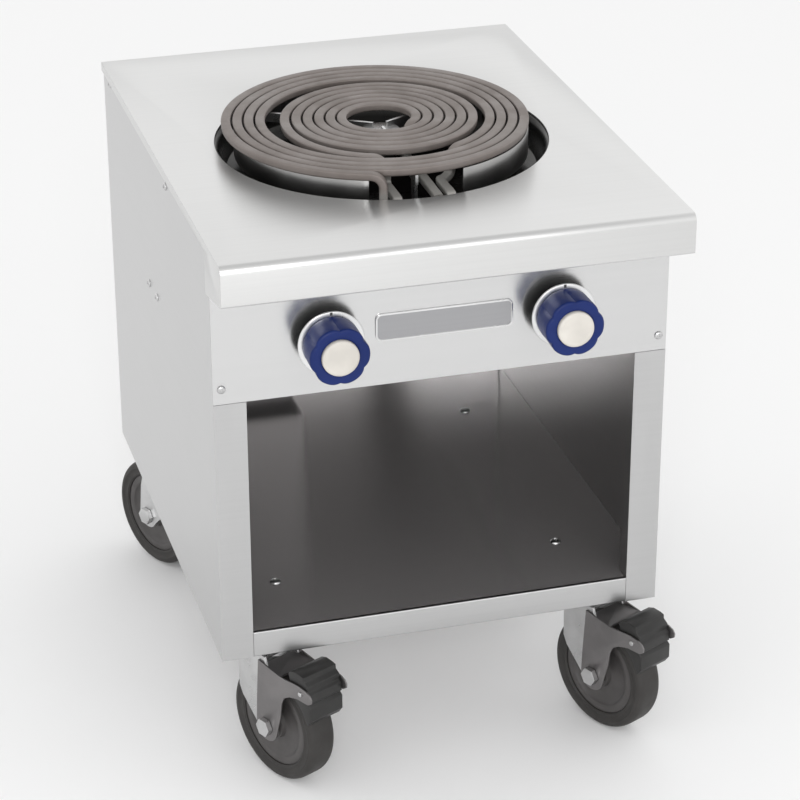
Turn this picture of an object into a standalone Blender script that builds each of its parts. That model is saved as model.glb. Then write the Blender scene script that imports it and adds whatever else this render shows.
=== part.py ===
"""Electric stock-pot range on casters: one raised double-spiral element over an open stainless cabinet.

Frame: metres, +X to the viewer's right, +Y towards the back, +Z up. The origin is on the floor, at the
centre of the footprint. The control panel faces -Y.
"""

from math import cos, pi, radians, sin, sqrt

import bmesh
import bpy
from mathutils import Matrix, Vector

# Driving dimensions
TOP_WIDTH = 0.4572
TOP_DEPTH = 0.584
NOSE_REACH = 0.060
CABINET_HEIGHT = 0.446
CASTER_HEIGHT = 0.156
BODY_WIDTH = 0.4532
BODY_DEPTH = 0.5225
TOP_SHEET = 0.002
BODY_SHEET = 0.0012
GAP = 0.0003

# Levels and faces worked out from them
TOP_Z = CASTER_HEIGHT + CABINET_HEIGHT
BASE_Z = CASTER_HEIGHT
NOSE_Y = -TOP_DEPTH / 2
FRONT_Y = NOSE_Y + NOSE_REACH
BACK_Y = FRONT_Y + BODY_DEPTH
HALF_TOP = TOP_WIDTH / 2
HALF_BODY = BODY_WIDTH / 2
HALF_INSIDE = HALF_BODY - BODY_SHEET - GAP

# Cooktop
NOSE_HEIGHT = 0.0397
NOSE_RADIUS = 0.008
NOSE_SLOPE = 0.0123
LIP_HEIGHT = 0.010
LIP_SHEET = 0.0015
CAP_BEHIND_FRONT = 0.008

# Storage opening and panels
OPENING_HALF = 0.1946
OPENING_TOP = BASE_Z + 0.2806
FLOOR_Z = BASE_Z + 0.0275
STILE_RETURN = 0.020
PARTITION_Z = BASE_Z + 0.2835

# Burner
BURNER_Y = -0.0125
HOLE_RADIUS = 0.1675
TUBE_WIDTH = 0.0096
TUBE_HEIGHT = 0.0080
ELEMENT_TOP = TOP_Z + 0.022
ELEMENT_Z = ELEMENT_TOP - TUBE_HEIGHT / 2
ELEMENT_Y = BURNER_Y + 0.003
TURN_PITCH = 0.0114
INNER_X, OUTER_X = 0.001, -0.003
INNER_START, INNER_START_ANGLE = 0.0335, -40
INNER_SWEEP, INNER_CROSSING, INNER_STEP_OUT = 2090, 86, 0.0096
OUTER_START, OUTER_START_ANGLE, OUTER_SWEEP = 0.1106, 300, 1392
LEAD_Z = TOP_Z - 0.009
LEAD_Y = ELEMENT_Y - 0.1507
LEAD_END_Z = TOP_Z - 0.066
SUPPORT_ANGLES = (268, 28, 148)
HOOP_RADIUS = 0.1475
HOOP_HEIGHT = 0.0280
HOOP_ANGLES = (287, 610)

# Supply inlet in the back panel
INLET_X = -0.130
INLET_Z = PARTITION_Z + 0.055
DUCT_LOW_X = -0.115
DUCT_HIGH_X = -0.020
DUCT_DEPTH = 0.030
DUCT_FOOT = 0.0185

# Controls
KNOB_X = 0.1150
KNOB_Z = BASE_Z + 0.338
SHAFT_RADIUS = 0.0030
BUSHING_RADIUS = 0.0050
SKIRT_RADIUS = 0.0325
GRIP_RADIUS = 0.0292
CAP_RADIUS = 0.0180
SKIRT_Y = FRONT_Y - 0.0165
GRIP_FRONT_Y = FRONT_Y - 0.0490

# Casters
WHEEL_RADIUS = 0.0625
WHEEL_WIDTH = 0.032
TRAIL = 0.033
SWIVEL_X = 0.1735
SWIVEL_Y = {"front": FRONT_Y + 0.057, "rear": FRONT_Y + 0.4690}
SWIVEL_ANGLE = {"front": radians(26), "rear": radians(206)}
PLATE_THICKNESS = 0.004
RACE_BOTTOM_Z = CASTER_HEIGHT - 0.0145
LEG_INNER = 0.0190
LEG_THICKNESS = 0.0028
AXLE_RADIUS = 0.0060
CHEEK_THICKNESS = 0.0018
PEDAL_PIVOT = (-0.0880, 0.1255)
PIN_RADIUS = 0.0025

FINISHES = {
    "stainless": ((0.62, 0.62, 0.61), 0.28, 1.0),
    "dark_steel": ((0.16, 0.16, 0.16), 0.35, 1.0),
    "heater_sheath": ((0.20, 0.18, 0.17), 0.55, 0.6),
    "ceramic": ((0.80, 0.78, 0.72), 0.60, 0.0),
    "blue_plastic": ((0.02, 0.05, 0.22), 0.35, 0.0),
    "cream_plastic": ((0.85, 0.82, 0.74), 0.40, 0.0),
    "silver_plate": ((0.75, 0.75, 0.75), 0.30, 1.0),
    "black_plastic": ((0.02, 0.02, 0.02), 0.50, 0.0),
    "zinc_plate": ((0.55, 0.56, 0.56), 0.35, 1.0),
    "tyre_rubber": ((0.07, 0.07, 0.065), 0.65, 0.0),
    "hub_plastic": ((0.16, 0.16, 0.16), 0.50, 0.0),
}


def material(finish):
    """The shared Principled material of one finish."""
    found = bpy.data.materials.get(finish)
    if found:
        return found
    colour, roughness, metallic = FINISHES[finish]
    made = bpy.data.materials.new(finish)
    made.use_nodes = True
    shader = made.node_tree.nodes["Principled BSDF"]
    shader.inputs["Base Color"].default_value = (*colour, 1)
    shader.inputs["Roughness"].default_value = roughness
    shader.inputs["Metallic"].default_value = metallic
    return made


def new_object(name, bm, finish, smooth=False):
    """An object from a bmesh, with its faces turned outwards and n-gons cut into triangles."""
    bmesh.ops.recalc_face_normals(bm, faces=bm.faces)
    bmesh.ops.triangulate(bm, faces=[face for face in bm.faces if len(face.verts) > 4])
    mesh = bpy.data.meshes.new(name)
    bm.to_mesh(mesh)
    bm.free()
    mesh.materials.append(material(finish))
    if smooth:
        mesh.shade_smooth()
        mesh.set_sharp_from_angle(angle=radians(35))
    obj = bpy.data.objects.new(name, mesh)
    bpy.context.collection.objects.link(obj)
    return obj


def place(axis, along, u, v):
    """A point from its distance along an axis and its two coordinates across it."""
    return {"X": (along, u, v), "Y": (u, along, v), "Z": (u, v, along)}[axis]


def prism(name, outline, axis, start, end, finish):
    """A straight prism: outline in the two axes across `axis` (in X, Y, Z order), from start to end."""
    bm = bmesh.new()
    base = [bm.verts.new(place(axis, start, u, v)) for u, v in outline]
    face = bm.faces.new(base)
    grown = bmesh.ops.extrude_face_region(bm, geom=[face])
    moved = [item for item in grown["geom"] if isinstance(item, bmesh.types.BMVert)]
    bmesh.ops.translate(bm, verts=moved, vec=Vector(place(axis, end - start, 0, 0)))
    return new_object(name, bm, finish)


def block(name, low, high, finish):
    """A box between two corners."""
    outline = [(low[0], low[1]), (high[0], low[1]), (high[0], high[1]), (low[0], high[1])]
    return prism(name, outline, "Z", low[2], high[2], finish)


def arc(centre, radius, start, end, steps):
    """Points on a circular arc, with angles in degrees."""
    angles = [radians(start + (end - start) * step / steps) for step in range(steps + 1)]
    return [(centre[0] + radius * cos(angle), centre[1] + radius * sin(angle)) for angle in angles]


def disc(name, centre, axis, radius, start, end, finish, sides=32, turn=0.0):
    """A cylinder along an axis; centre gives the two coordinates across it."""
    outline = [
        (
            centre[0] + radius * cos(turn + 2 * pi * side / sides),
            centre[1] + radius * sin(turn + 2 * pi * side / sides),
        )
        for side in range(sides)
    ]
    made = prism(name, outline, axis, start, end, finish)
    made.data.shade_smooth()
    made.data.set_sharp_from_angle(angle=radians(35))
    return made


def offset_path(points, distance):
    """The path shifted to its left by distance, with mitred corners."""
    normals = []
    for (x0, y0), (x1, y1) in zip(points, points[1:]):
        length = sqrt((x1 - x0) ** 2 + (y1 - y0) ** 2)
        normals.append((-(y1 - y0) / length, (x1 - x0) / length))
    shifted = []
    for index, (x, y) in enumerate(points):
        before = normals[max(index - 1, 0)]
        after = normals[min(index, len(normals) - 1)]
        scale = distance / (1 + before[0] * after[0] + before[1] * after[1])
        shifted.append((x + (before[0] + after[0]) * scale, y + (before[1] + after[1]) * scale))
    return shifted


def folded_sheet(name, path, thickness, axis, start, end, finish):
    """Sheet metal folded along a path, its thickness laid to the left of the path."""
    outline = list(path) + offset_path(path, thickness)[::-1]
    return prism(name, outline, axis, start, end, finish)


def turned(name, profile, finish, centre=(0, 0, 0), axis="Z", sides=32):
    """A closed profile of (radius, distance along the axis) spun once about the axis."""
    bm = bmesh.new()
    rings = []
    for side in range(sides):
        angle = 2 * pi * side / sides
        ring = []
        for radius, along in profile:
            u, v = radius * cos(angle), radius * sin(angle)
            ring.append(bm.verts.new(Vector(place(axis, along, u, v)) + Vector(centre)))
        rings.append(ring)
    for ring, following in zip(rings, rings[1:] + rings[:1]):
        for index in range(len(profile)):
            after = (index + 1) % len(profile)
            bm.faces.new([ring[index], ring[after], following[after], following[index]])
    bmesh.ops.remove_doubles(bm, verts=bm.verts, dist=1e-6)
    return new_object(name, bm, finish, smooth=True)


def combine(target, other, operation):
    """A Boolean on target with another object, which is then kept only as a guide."""
    modifier = target.modifiers.new(other.name, "BOOLEAN")
    modifier.operation = operation
    modifier.object = other
    modifier.solver = "EXACT"
    other.hide_render = True
    other.display_type = "WIRE"
    other.name = "cutter_" + other.name


def cut(target, other):
    combine(target, other, "DIFFERENCE")


def join(target, other):
    combine(target, other, "UNION")


def headings(points):
    """The horizontal heading at each point; on upright runs it is blended from the ends of the run."""
    found = {}
    for index in range(len(points)):
        step = points[min(index + 1, len(points) - 1)] - points[max(index - 1, 0)]
        flat = Vector((step.x, step.y, 0))
        if flat.length > 0.3 * step.length:
            found[index] = flat.normalized()
    known = sorted(found)
    result = []
    for index in range(len(points)):
        before = max([item for item in known if item <= index], default=known[0])
        after = min([item for item in known if item >= index], default=known[-1])
        share = (index - before) / (after - before) if after > before else 0.0
        result.append(found[before].lerp(found[after], share).normalized())
    return result


def swept_tube(name, points, finish):
    """A heater tube of flat-topped section along points."""
    half_width, half_height = TUBE_WIDTH / 2, TUBE_HEIGHT / 2
    section = [
        (-half_width, 0),
        (-0.72 * half_width, half_height),
        (0.72 * half_width, half_height),
        (half_width, 0),
        (0.62 * half_width, -half_height),
        (-0.62 * half_width, -half_height),
    ]
    bm = bmesh.new()
    rings = []
    for index, (point, heading) in enumerate(zip(points, headings(points))):
        before = points[max(index - 1, 0)]
        after = points[min(index + 1, len(points) - 1)]
        along = (after - before).normalized()
        side = Vector((heading.y, -heading.x, 0))
        side = (side - along * side.dot(along)).normalized()
        up = side.cross(along)
        rings.append([bm.verts.new(point + side * u + up * v) for u, v in section])
    for ring, following in zip(rings, rings[1:]):
        for index in range(len(section)):
            after = (index + 1) % len(section)
            bm.faces.new([ring[index], ring[after], following[after], following[index]])
    bm.faces.new(rings[0])
    bm.faces.new(rings[-1][::-1])
    return new_object(name, bm, finish, smooth=True)


def spiral(centre_x, start_radius, start_angle, sweep, steps_per_turn, crossing=0, step_out=0.0):
    """Points of a spiral that grows anticlockwise and steps out over its last `crossing` degrees."""
    steps = round(sweep / 360 * steps_per_turn)
    points = []
    for step in range(steps + 1):
        turned_by = sweep * step / steps
        late = max(0.0, (turned_by - sweep + crossing) / crossing) if crossing else 0.0
        radius = start_radius + TURN_PITCH * turned_by / 360 + step_out * late * late * (3 - 2 * late)
        angle = radians(start_angle + turned_by)
        x, y = centre_x + radius * cos(angle), ELEMENT_Y + radius * sin(angle)
        points.append(Vector((x, y, ELEMENT_Z)))
    return points


def dive(start, heading, bend=0.012, steps=4):
    """A quarter bend from a level heading to straight down."""
    turns = [pi / 2 * step / steps for step in range(1, steps + 1)]
    return [start + heading * bend * sin(turn) - Vector((0, 0, bend * (1 - cos(turn)))) for turn in turns]


def lead_run(dived, lead_x):
    """From the foot of a dive: level under the support to the front, then down to the terminal block."""
    bend = 0.006
    runs = [
        Vector((dived.x, dived.y, LEAD_Z + bend)),
        Vector((dived.x * 0.8 + lead_x * 0.2, dived.y - 0.3 * bend, LEAD_Z + 0.3 * bend)),
        Vector((dived.x * 0.4 + lead_x * 0.6, dived.y - bend, LEAD_Z)),
        Vector((lead_x, dived.y - 2 * bend, LEAD_Z)),
        Vector((lead_x, LEAD_Y + bend, LEAD_Z)),
        Vector((lead_x, LEAD_Y + 0.3 * bend, LEAD_Z - 0.3 * bend)),
        Vector((lead_x, LEAD_Y, LEAD_Z - bend)),
        Vector((lead_x, LEAD_Y, LEAD_END_Z)),
    ]
    return runs


def end_heading(points, end):
    """Level heading out of a spiral at its first or last point."""
    step = points[0] - points[1] if end == "first" else points[-1] - points[-2]
    return step.normalized()


def make_inner_element():
    """Inner heater: five turns, then a step outwards before the tube dives in front."""
    points = spiral(
        INNER_X, INNER_START, INNER_START_ANGLE, INNER_SWEEP, 25, INNER_CROSSING, INNER_STEP_OUT
    )
    first = dive(points[0], end_heading(points, "first"))
    last = dive(points[-1], end_heading(points, "last"))
    path = (first + lead_run(first[-1], 0.0145))[::-1] + points + last + lead_run(last[-1], -0.0250)
    swept_tube("inner_element", path, "heater_sheath")


def make_outer_element():
    """Outer heater: just under four turns round the inner one."""
    points = spiral(OUTER_X, OUTER_START, OUTER_START_ANGLE, OUTER_SWEEP, 33)
    first = dive(points[0], end_heading(points, "first"))
    last = dive(points[-1], end_heading(points, "last"))
    foot = Vector((last[-1].x, last[-1].y, LEAD_END_Z))
    path = (first + lead_run(first[-1], 0.0285))[::-1] + points + last + [foot]
    swept_tube("outer_element", path, "heater_sheath")


def make_cooktop():
    """Formed top: flat deck with a bull-nosed front, an underside that slopes back, side lips and the hole."""
    under_z = TOP_Z - NOSE_HEIGHT
    slope = NOSE_SLOPE / NOSE_REACH
    cap_y = FRONT_Y + CAP_BEHIND_FRONT
    back_y = TOP_DEPTH / 2
    nose_arc = arc((NOSE_Y + NOSE_RADIUS, TOP_Z - NOSE_RADIUS), NOSE_RADIUS, 90, 180, 5)
    outer = [(back_y, TOP_Z - LIP_HEIGHT), (back_y, TOP_Z)]
    outer += nose_arc
    outer += [
        (NOSE_Y, under_z),
        (cap_y, under_z - slope * (cap_y - NOSE_Y)),
        (cap_y, TOP_Z - LIP_HEIGHT),
    ]
    cooktop = prism("cooktop", outer, "X", -HALF_TOP, HALF_TOP, "stainless")

    panel_y = FRONT_Y - GAP
    inner_arc = arc(
        (NOSE_Y + NOSE_RADIUS, TOP_Z - NOSE_RADIUS), NOSE_RADIUS - TOP_SHEET, 90, 180, 4
    )
    lip_y = back_y - LIP_SHEET
    hollow = [(lip_y, TOP_Z - 0.080), (lip_y, TOP_Z - TOP_SHEET)]
    hollow += inner_arc
    hollow += [
        (NOSE_Y + TOP_SHEET, under_z + TOP_SHEET),
        (panel_y, under_z + TOP_SHEET - slope * NOSE_REACH),
        (panel_y, TOP_Z - 0.080),
    ]
    half_hollow = HALF_TOP - LIP_SHEET
    cut(cooktop, prism("deck_hollow", hollow, "X", -half_hollow, half_hollow, "stainless"))
    hole = disc(
        "burner_hole", (0, BURNER_Y), "Z", HOLE_RADIUS, TOP_Z - 0.02, TOP_Z + 0.02, "stainless", 72
    )
    cut(cooktop, hole)


def make_side_panel(side, name):
    """Side panel with its front stile, the stile's return and the rear flange folded from one sheet."""
    path = [
        (side * OPENING_HALF, FRONT_Y + STILE_RETURN),
        (side * OPENING_HALF, FRONT_Y),
        (side * HALF_BODY, FRONT_Y),
        (side * HALF_BODY, BACK_Y - 0.0003),
        (side * (HALF_BODY - 0.020), BACK_Y - 0.0003),
    ]
    panel = folded_sheet(
        name, path, side * BODY_SHEET, "Z", BASE_Z, TOP_Z - TOP_SHEET - GAP, "stainless"
    )
    face_y = FRONT_Y + BODY_SHEET + GAP
    inner_x = HALF_BODY - BODY_SHEET - GAP / 2
    notch = [
        (side * (HALF_BODY + 0.004), FRONT_Y - 0.004),
        (side * (HALF_BODY + 0.004), face_y),
        (side * inner_x, face_y),
        (side * inner_x, FRONT_Y + STILE_RETURN + 0.004),
        (side * (OPENING_HALF - 0.004), FRONT_Y + STILE_RETURN + 0.004),
        (side * (OPENING_HALF - 0.004), FRONT_Y - 0.004),
    ]
    cut(panel, prism(name + "_notch", notch, "Z", OPENING_TOP - GAP, TOP_Z + 0.01, "stainless"))
    low_x, high_x = sorted((side * (HALF_BODY - 0.025), side * (HALF_BODY + 0.01)))
    lip_notch = block(
        name + "_lip_notch",
        (low_x, BACK_Y - 0.0003 - BODY_SHEET, TOP_Z - LIP_HEIGHT - GAP),
        (high_x, BACK_Y + 0.01, TOP_Z + 0.01),
        "stainless",
    )
    cut(panel, lip_notch)


def make_back_panel():
    """Flat back sheet inside the side panels' rear flanges, with the hole of the supply inlet."""
    rear = BACK_Y - 0.0003 - BODY_SHEET - GAP
    panel = block(
        "back_panel",
        (-HALF_INSIDE, rear - BODY_SHEET, FLOOR_Z + GAP),
        (HALF_INSIDE, rear, TOP_Z - TOP_SHEET - GAP),
        "stainless",
    )
    hole = disc(
        "inlet_hole", (INLET_X, INLET_Z), "Y", 0.0145, rear - 0.02, rear + 0.02, "stainless", 24
    )
    cut(panel, hole)


def make_supply_inlet():
    """Flanged bushing in the back panel, where the building's supply conduit would enter."""
    rear = BACK_Y - 0.0003 - BODY_SHEET - GAP
    outside = BACK_Y
    profile = [
        (0.0100, rear - 0.012),
        (0.0142, rear - 0.012),
        (0.0142, rear + GAP),
        (0.0200, rear + GAP),
        (0.0200, outside),
        (0.0100, outside),
    ]
    turned("supply_inlet_bushing", profile, "black_plastic", (INLET_X, 0, INLET_Z), "Y", 28)


def make_wiring_duct():
    """Upright channel on the back panel that takes the wiring from the partition down to the floor."""
    rear = BACK_Y - 0.0003 - BODY_SHEET - GAP - BODY_SHEET - GAP
    path = [
        (DUCT_LOW_X, rear),
        (DUCT_LOW_X, rear - DUCT_DEPTH),
        (DUCT_HIGH_X, rear - DUCT_DEPTH),
        (DUCT_HIGH_X, rear),
    ]
    foot, head = FLOOR_Z + DUCT_FOOT, PARTITION_Z - BODY_SHEET - GAP
    folded_sheet("wiring_duct", path, BODY_SHEET, "Z", foot, head, "stainless")


def make_cabinet_floor():
    """Storage floor with the bottom rail and its return folded down in front."""
    path = [
        (FRONT_Y + STILE_RETURN, BASE_Z),
        (FRONT_Y, BASE_Z),
        (FRONT_Y, FLOOR_Z),
        (BACK_Y - 0.0040, FLOOR_Z),
    ]
    floor = folded_sheet(
        "cabinet_floor", path, -BODY_SHEET, "X", -HALF_INSIDE, HALF_INSIDE, "stainless"
    )
    for side, label in ((-1, "left"), (1, "right")):
        low_x, high_x = sorted((side * (OPENING_HALF - GAP), side * (HALF_BODY + 0.01)))
        corner = block(
            "floor_corner_" + label,
            (low_x, FRONT_Y - 0.01, BASE_Z - 0.01),
            (high_x, FRONT_Y + STILE_RETURN + GAP, FLOOR_Z + 0.01),
            "stainless",
        )
        cut(floor, corner)


def make_base_channel(side, name):
    """Channel under the floor that carries the two casters of one side."""
    low_x = side * SWIVEL_X - 0.046
    high_x = side * SWIVEL_X + 0.046
    top = FLOOR_Z - BODY_SHEET - GAP
    path = [(low_x, top), (low_x, BASE_Z), (high_x, BASE_Z), (high_x, top)]
    folded_sheet(
        name, path, 0.0020, "Y", FRONT_Y + STILE_RETURN + 0.001, BACK_Y - 0.004, "dark_steel"
    )


def make_control_panel():
    """Control fascia with a return at its foot and head, and a hole for each control."""
    path = [
        (FRONT_Y + 0.030, OPENING_TOP),
        (FRONT_Y, OPENING_TOP),
        (FRONT_Y, TOP_Z - 0.014),
        (FRONT_Y + 0.018, TOP_Z - 0.014),
    ]
    panel = folded_sheet(
        "control_panel", path, -BODY_SHEET, "X", -HALF_BODY, HALF_BODY, "stainless"
    )
    for side, label in ((-1, "left"), (1, "right")):
        low_x, high_x = sorted((side * HALF_INSIDE, side * (HALF_BODY + 0.01)))
        relief = block(
            "panel_relief_" + label,
            (low_x, FRONT_Y + BODY_SHEET, OPENING_TOP - 0.01),
            (high_x, FRONT_Y + 0.04, TOP_Z),
            "stainless",
        )
        cut(panel, relief)
        hole = disc(
            "control_hole_" + label,
            (side * KNOB_X, KNOB_Z),
            "Y",
            BUSHING_RADIUS + GAP,
            FRONT_Y - 0.01,
            FRONT_Y + 0.01,
            "stainless",
            20,
        )
        cut(panel, hole)


def make_partition():
    """Sheet between the storage space and the wiring space, with side flanges for its screws."""
    path = [
        (-HALF_INSIDE, PARTITION_Z - 0.014),
        (-HALF_INSIDE, PARTITION_Z),
        (HALF_INSIDE, PARTITION_Z),
        (HALF_INSIDE, PARTITION_Z - 0.014),
    ]
    folded_sheet(
        "compartment_floor", path, -BODY_SHEET, "Y", FRONT_Y + 0.0315, BACK_Y - 0.0040, "stainless"
    )


def make_burner_bowl():
    """Deep bowl hung under the hole, open at the front for the heater leads."""
    rim_z = TOP_Z - TOP_SHEET - GAP
    wall = 0.0012
    outside = [
        (0.1790, rim_z),
        (0.1790, rim_z - wall),
        (0.1672, rim_z - wall),
        (0.1640, rim_z - 0.006),
        (0.1600, rim_z - 0.022),
        (0.1500, rim_z - 0.031),
        (0.0500, rim_z - 0.036),
        (0.0000, rim_z - 0.036),
    ]
    inside = [
        (0.0000, rim_z - 0.036 + wall),
        (0.0500, rim_z - 0.036 + wall),
        (0.1496, rim_z - 0.031 + wall),
        (0.1589, rim_z - 0.0215),
        (0.1628, rim_z - 0.0055),
        (0.1662, rim_z),
    ]
    bowl = turned("burner_bowl", outside + inside, "dark_steel", (0, BURNER_Y, 0), "Z", 48)
    for label, low_x, high_x in (("left", -0.0475, -0.0085), ("right", 0.0075, 0.0360)):
        notch = block(
            label + "_lead_notch",
            (low_x, BURNER_Y - 0.170, TOP_Z - 0.060),
            (high_x, BURNER_Y - 0.134, TOP_Z - 0.0100),
            "dark_steel",
        )
        cut(bowl, notch)


def make_element_support():
    """Three-armed stand with a hoop round its ends: the hoop is open in front for the heater leads."""
    arm_top = ELEMENT_Z - TUBE_HEIGHT / 2 - GAP
    arm_bottom = arm_top - 0.010
    foot_z = TOP_Z - TOP_SHEET - GAP - 0.0290
    half_bar = 0.0015
    support = disc(
        "element_support",
        (0, ELEMENT_Y),
        "Z",
        0.0190,
        arm_bottom - 0.001,
        arm_bottom + 0.004,
        "zinc_plate",
        24,
    )
    outline = [
        (0.008, arm_bottom),
        (0.130, arm_bottom),
        (0.133, foot_z),
        (0.144, foot_z),
        (0.144, arm_bottom),
        (0.147, arm_bottom),
        (0.147, arm_top),
        (0.008, arm_top),
    ]
    for index, angle in enumerate(SUPPORT_ANGLES):
        arm = prism(f"support_arm_{index}", outline, "Y", -half_bar, half_bar, "zinc_plate")
        turn = Matrix.Rotation(radians(angle), 4, "Z")
        arm.data.transform(Matrix.Translation((0, ELEMENT_Y, 0)) @ turn)
        join(support, arm)
    first, last = HOOP_ANGLES
    around = arc((0, ELEMENT_Y), HOOP_RADIUS, first, last, 54)
    around += arc((0, ELEMENT_Y), HOOP_RADIUS - 0.0012, last, first, 54)
    join(support, prism("support_hoop", around, "Z", arm_top - HOOP_HEIGHT, arm_top, "zinc_plate"))


def make_terminals():
    """Ceramic block that takes the heater leads, on a bracket that stands on the partition."""
    block_y = LEAD_Y
    top = LEAD_END_Z - GAP
    block(
        "terminal_block",
        (-0.048, block_y - 0.014, top - 0.018),
        (0.040, block_y + 0.022, top),
        "ceramic",
    )
    foot = PARTITION_Z + GAP
    head = top - 0.018 - GAP - 0.0015
    path = [
        (block_y + 0.045, foot),
        (block_y + 0.020, foot),
        (block_y + 0.020, head),
        (block_y - 0.012, head),
    ]
    folded_sheet("terminal_bracket", path, -0.0015, "X", -0.035, 0.035, "zinc_plate")


def make_control(side, label):
    """One control: switch behind the panel, its nut, and the shaft, dial skirt, grip and cap that turn."""
    x = side * KNOB_X
    inside_y = FRONT_Y + BODY_SHEET + GAP
    switch = block(
        f"{label}_switch",
        (x - 0.021, inside_y, KNOB_Z - 0.020),
        (x + 0.021, inside_y + 0.036, KNOB_Z + 0.020),
        "black_plastic",
    )
    bushing_front = FRONT_Y - 0.0075
    bushing = disc(
        f"{label}_bushing",
        (x, KNOB_Z),
        "Y",
        BUSHING_RADIUS,
        bushing_front,
        inside_y + 0.004,
        "zinc_plate",
        20,
    )
    join(switch, bushing)
    bore = disc(
        f"{label}_bore",
        (x, KNOB_Z),
        "Y",
        SHAFT_RADIUS + GAP,
        bushing_front - 0.01,
        inside_y + 0.010,
        "zinc_plate",
        20,
    )
    cut(switch, bore)

    nut = disc(
        f"{label}_switch_nut",
        (x, KNOB_Z),
        "Y",
        0.0082,
        FRONT_Y - 0.0042,
        FRONT_Y - GAP,
        "zinc_plate",
        6,
    )
    nut_bore = disc(
        f"{label}_nut_bore",
        (x, KNOB_Z),
        "Y",
        BUSHING_RADIUS + GAP,
        FRONT_Y - 0.01,
        FRONT_Y + 0.01,
        "zinc_plate",
        20,
    )
    cut(nut, nut_bore)

    shaft_front = GRIP_FRONT_Y + 0.014
    disc(
        f"{label}_knob_shaft",
        (x, KNOB_Z),
        "Y",
        SHAFT_RADIUS,
        shaft_front,
        inside_y + 0.009,
        "zinc_plate",
        16,
    )

    clear = SHAFT_RADIUS + GAP
    skirt_profile = [
        (clear, SKIRT_Y),
        (SKIRT_RADIUS, SKIRT_Y + 0.0012),
        (SKIRT_RADIUS, SKIRT_Y + 0.0030),
        (0.0300, SKIRT_Y + 0.0045),
        (clear, SKIRT_Y + 0.0045),
    ]
    turned(f"{label}_dial_skirt", skirt_profile, "silver_plate", (x, 0, KNOB_Z), "Y", 40)

    make_grip(f"{label}_knob_grip", x)

    cap_back = GRIP_FRONT_Y - GAP
    cap_profile = [
        (0.0, cap_back),
        (CAP_RADIUS, cap_back),
        (CAP_RADIUS, cap_back - 0.0020),
        (CAP_RADIUS - 0.0016, cap_back - 0.0034),
        (0.0, cap_back - 0.0040),
    ]
    turned(f"{label}_knob_cap", cap_profile, "cream_plastic", (x, 0, KNOB_Z), "Y", 32)


def make_grip(name, x):
    """Blue grip: six shallow lobes round it, tapering to the front, with a blind bore for the shaft."""
    sides = 48
    stations = [
        (SKIRT_Y - GAP, 1.00, 0.2),
        (SKIRT_Y - 0.004, 1.00, 1.0),
        (GRIP_FRONT_Y + 0.004, 0.95, 1.0),
        (GRIP_FRONT_Y, 0.82, 0.6),
    ]
    lobe_depth = 0.0016
    bm = bmesh.new()
    rings = []
    for along, share, depth in stations:
        ring = []
        for side in range(sides):
            angle = 2 * pi * side / sides
            radius = GRIP_RADIUS * share - lobe_depth * depth * (1 - cos(6 * angle)) / 2
            point = (x + radius * cos(angle), along, KNOB_Z + radius * sin(angle))
            ring.append(bm.verts.new(point))
        rings.append(ring)
    for ring, following in zip(rings, rings[1:]):
        for index in range(sides):
            after = (index + 1) % sides
            bm.faces.new([ring[index], ring[after], following[after], following[index]])
    bm.faces.new(rings[0])
    bm.faces.new(rings[-1][::-1])
    grip = new_object(name, bm, "blue_plastic", smooth=True)
    bore = disc(
        name + "_bore",
        (x, KNOB_Z),
        "Y",
        SHAFT_RADIUS + GAP,
        GRIP_FRONT_Y + 0.0137,
        SKIRT_Y + 0.01,
        "blue_plastic",
        16,
    )
    cut(grip, bore)


def make_badge():
    """Plain rounded nameplate between the knobs, with nothing written on it."""
    half_length, half_height, corner = 0.068, 0.014, 0.006
    centre_z = BASE_Z + 0.341
    outline = []
    for sx, sz, start in ((1, 1, 0), (-1, 1, 90), (-1, -1, 180), (1, -1, 270)):
        centre = (sx * (half_length - corner), centre_z + sz * (half_height - corner))
        outline += arc(centre, corner, start, start + 90, 4)
    prism("nameplate", outline, "Y", FRONT_Y - 0.0022, FRONT_Y - GAP, "silver_plate")


def make_panel_screw(side, label):
    """Domed screw that fastens the control panel to the side panel."""
    head = FRONT_Y - GAP
    profile = [(0.0, head), (0.0042, head), (0.0036, head - 0.0014), (0.0, head - 0.0022)]
    turned(
        f"panel_screw_{label}",
        profile,
        "zinc_plate",
        (side * 0.2184, 0, BASE_Z + 0.2964),
        "Y",
        12,
    )


def swing(obj, corner):
    """Puts a caster piece, modelled about its own swivel axis with its trail towards -Y, at its corner."""
    end, side = corner
    turn = Matrix.Rotation(SWIVEL_ANGLE[end], 4, "Z")
    obj.data.transform(Matrix.Translation((side * SWIVEL_X, SWIVEL_Y[end], 0)) @ turn)
    return obj


def leg_outline():
    """Side view of a fork leg in (Y, Z): wide under the crown, narrowing to the axle boss."""
    boss = arc((-TRAIL, WHEEL_RADIUS), 0.0150, 190, 335, 6)
    top = RACE_BOTTOM_Z - 0.0008
    return [(0.012, top), (-0.030, top), (-0.044, 0.098)] + boss + [(0.010, 0.088)]


def brake_outline():
    """Side view of the brake's cheek in (Y, Z): axle boss below, an arm forward to the pedal's pivot."""
    boss = arc((-TRAIL, WHEEL_RADIUS), 0.0165, 200, 340, 6)
    return [
        (-0.0220, 0.1360),
        (-0.0550, 0.1310),
        (-0.0750, 0.1325),
        (-0.0950, 0.1320),
        (-0.1045, 0.1265),
        (-0.1045, 0.1200),
        (-0.0990, 0.1170),
        (-0.0830, 0.1175),
        (-0.0700, 0.1140),
        (-0.0590, 0.1060),
        (-0.0560, 0.0850),
    ] + boss + [(-0.0185, 0.0850)]


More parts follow.
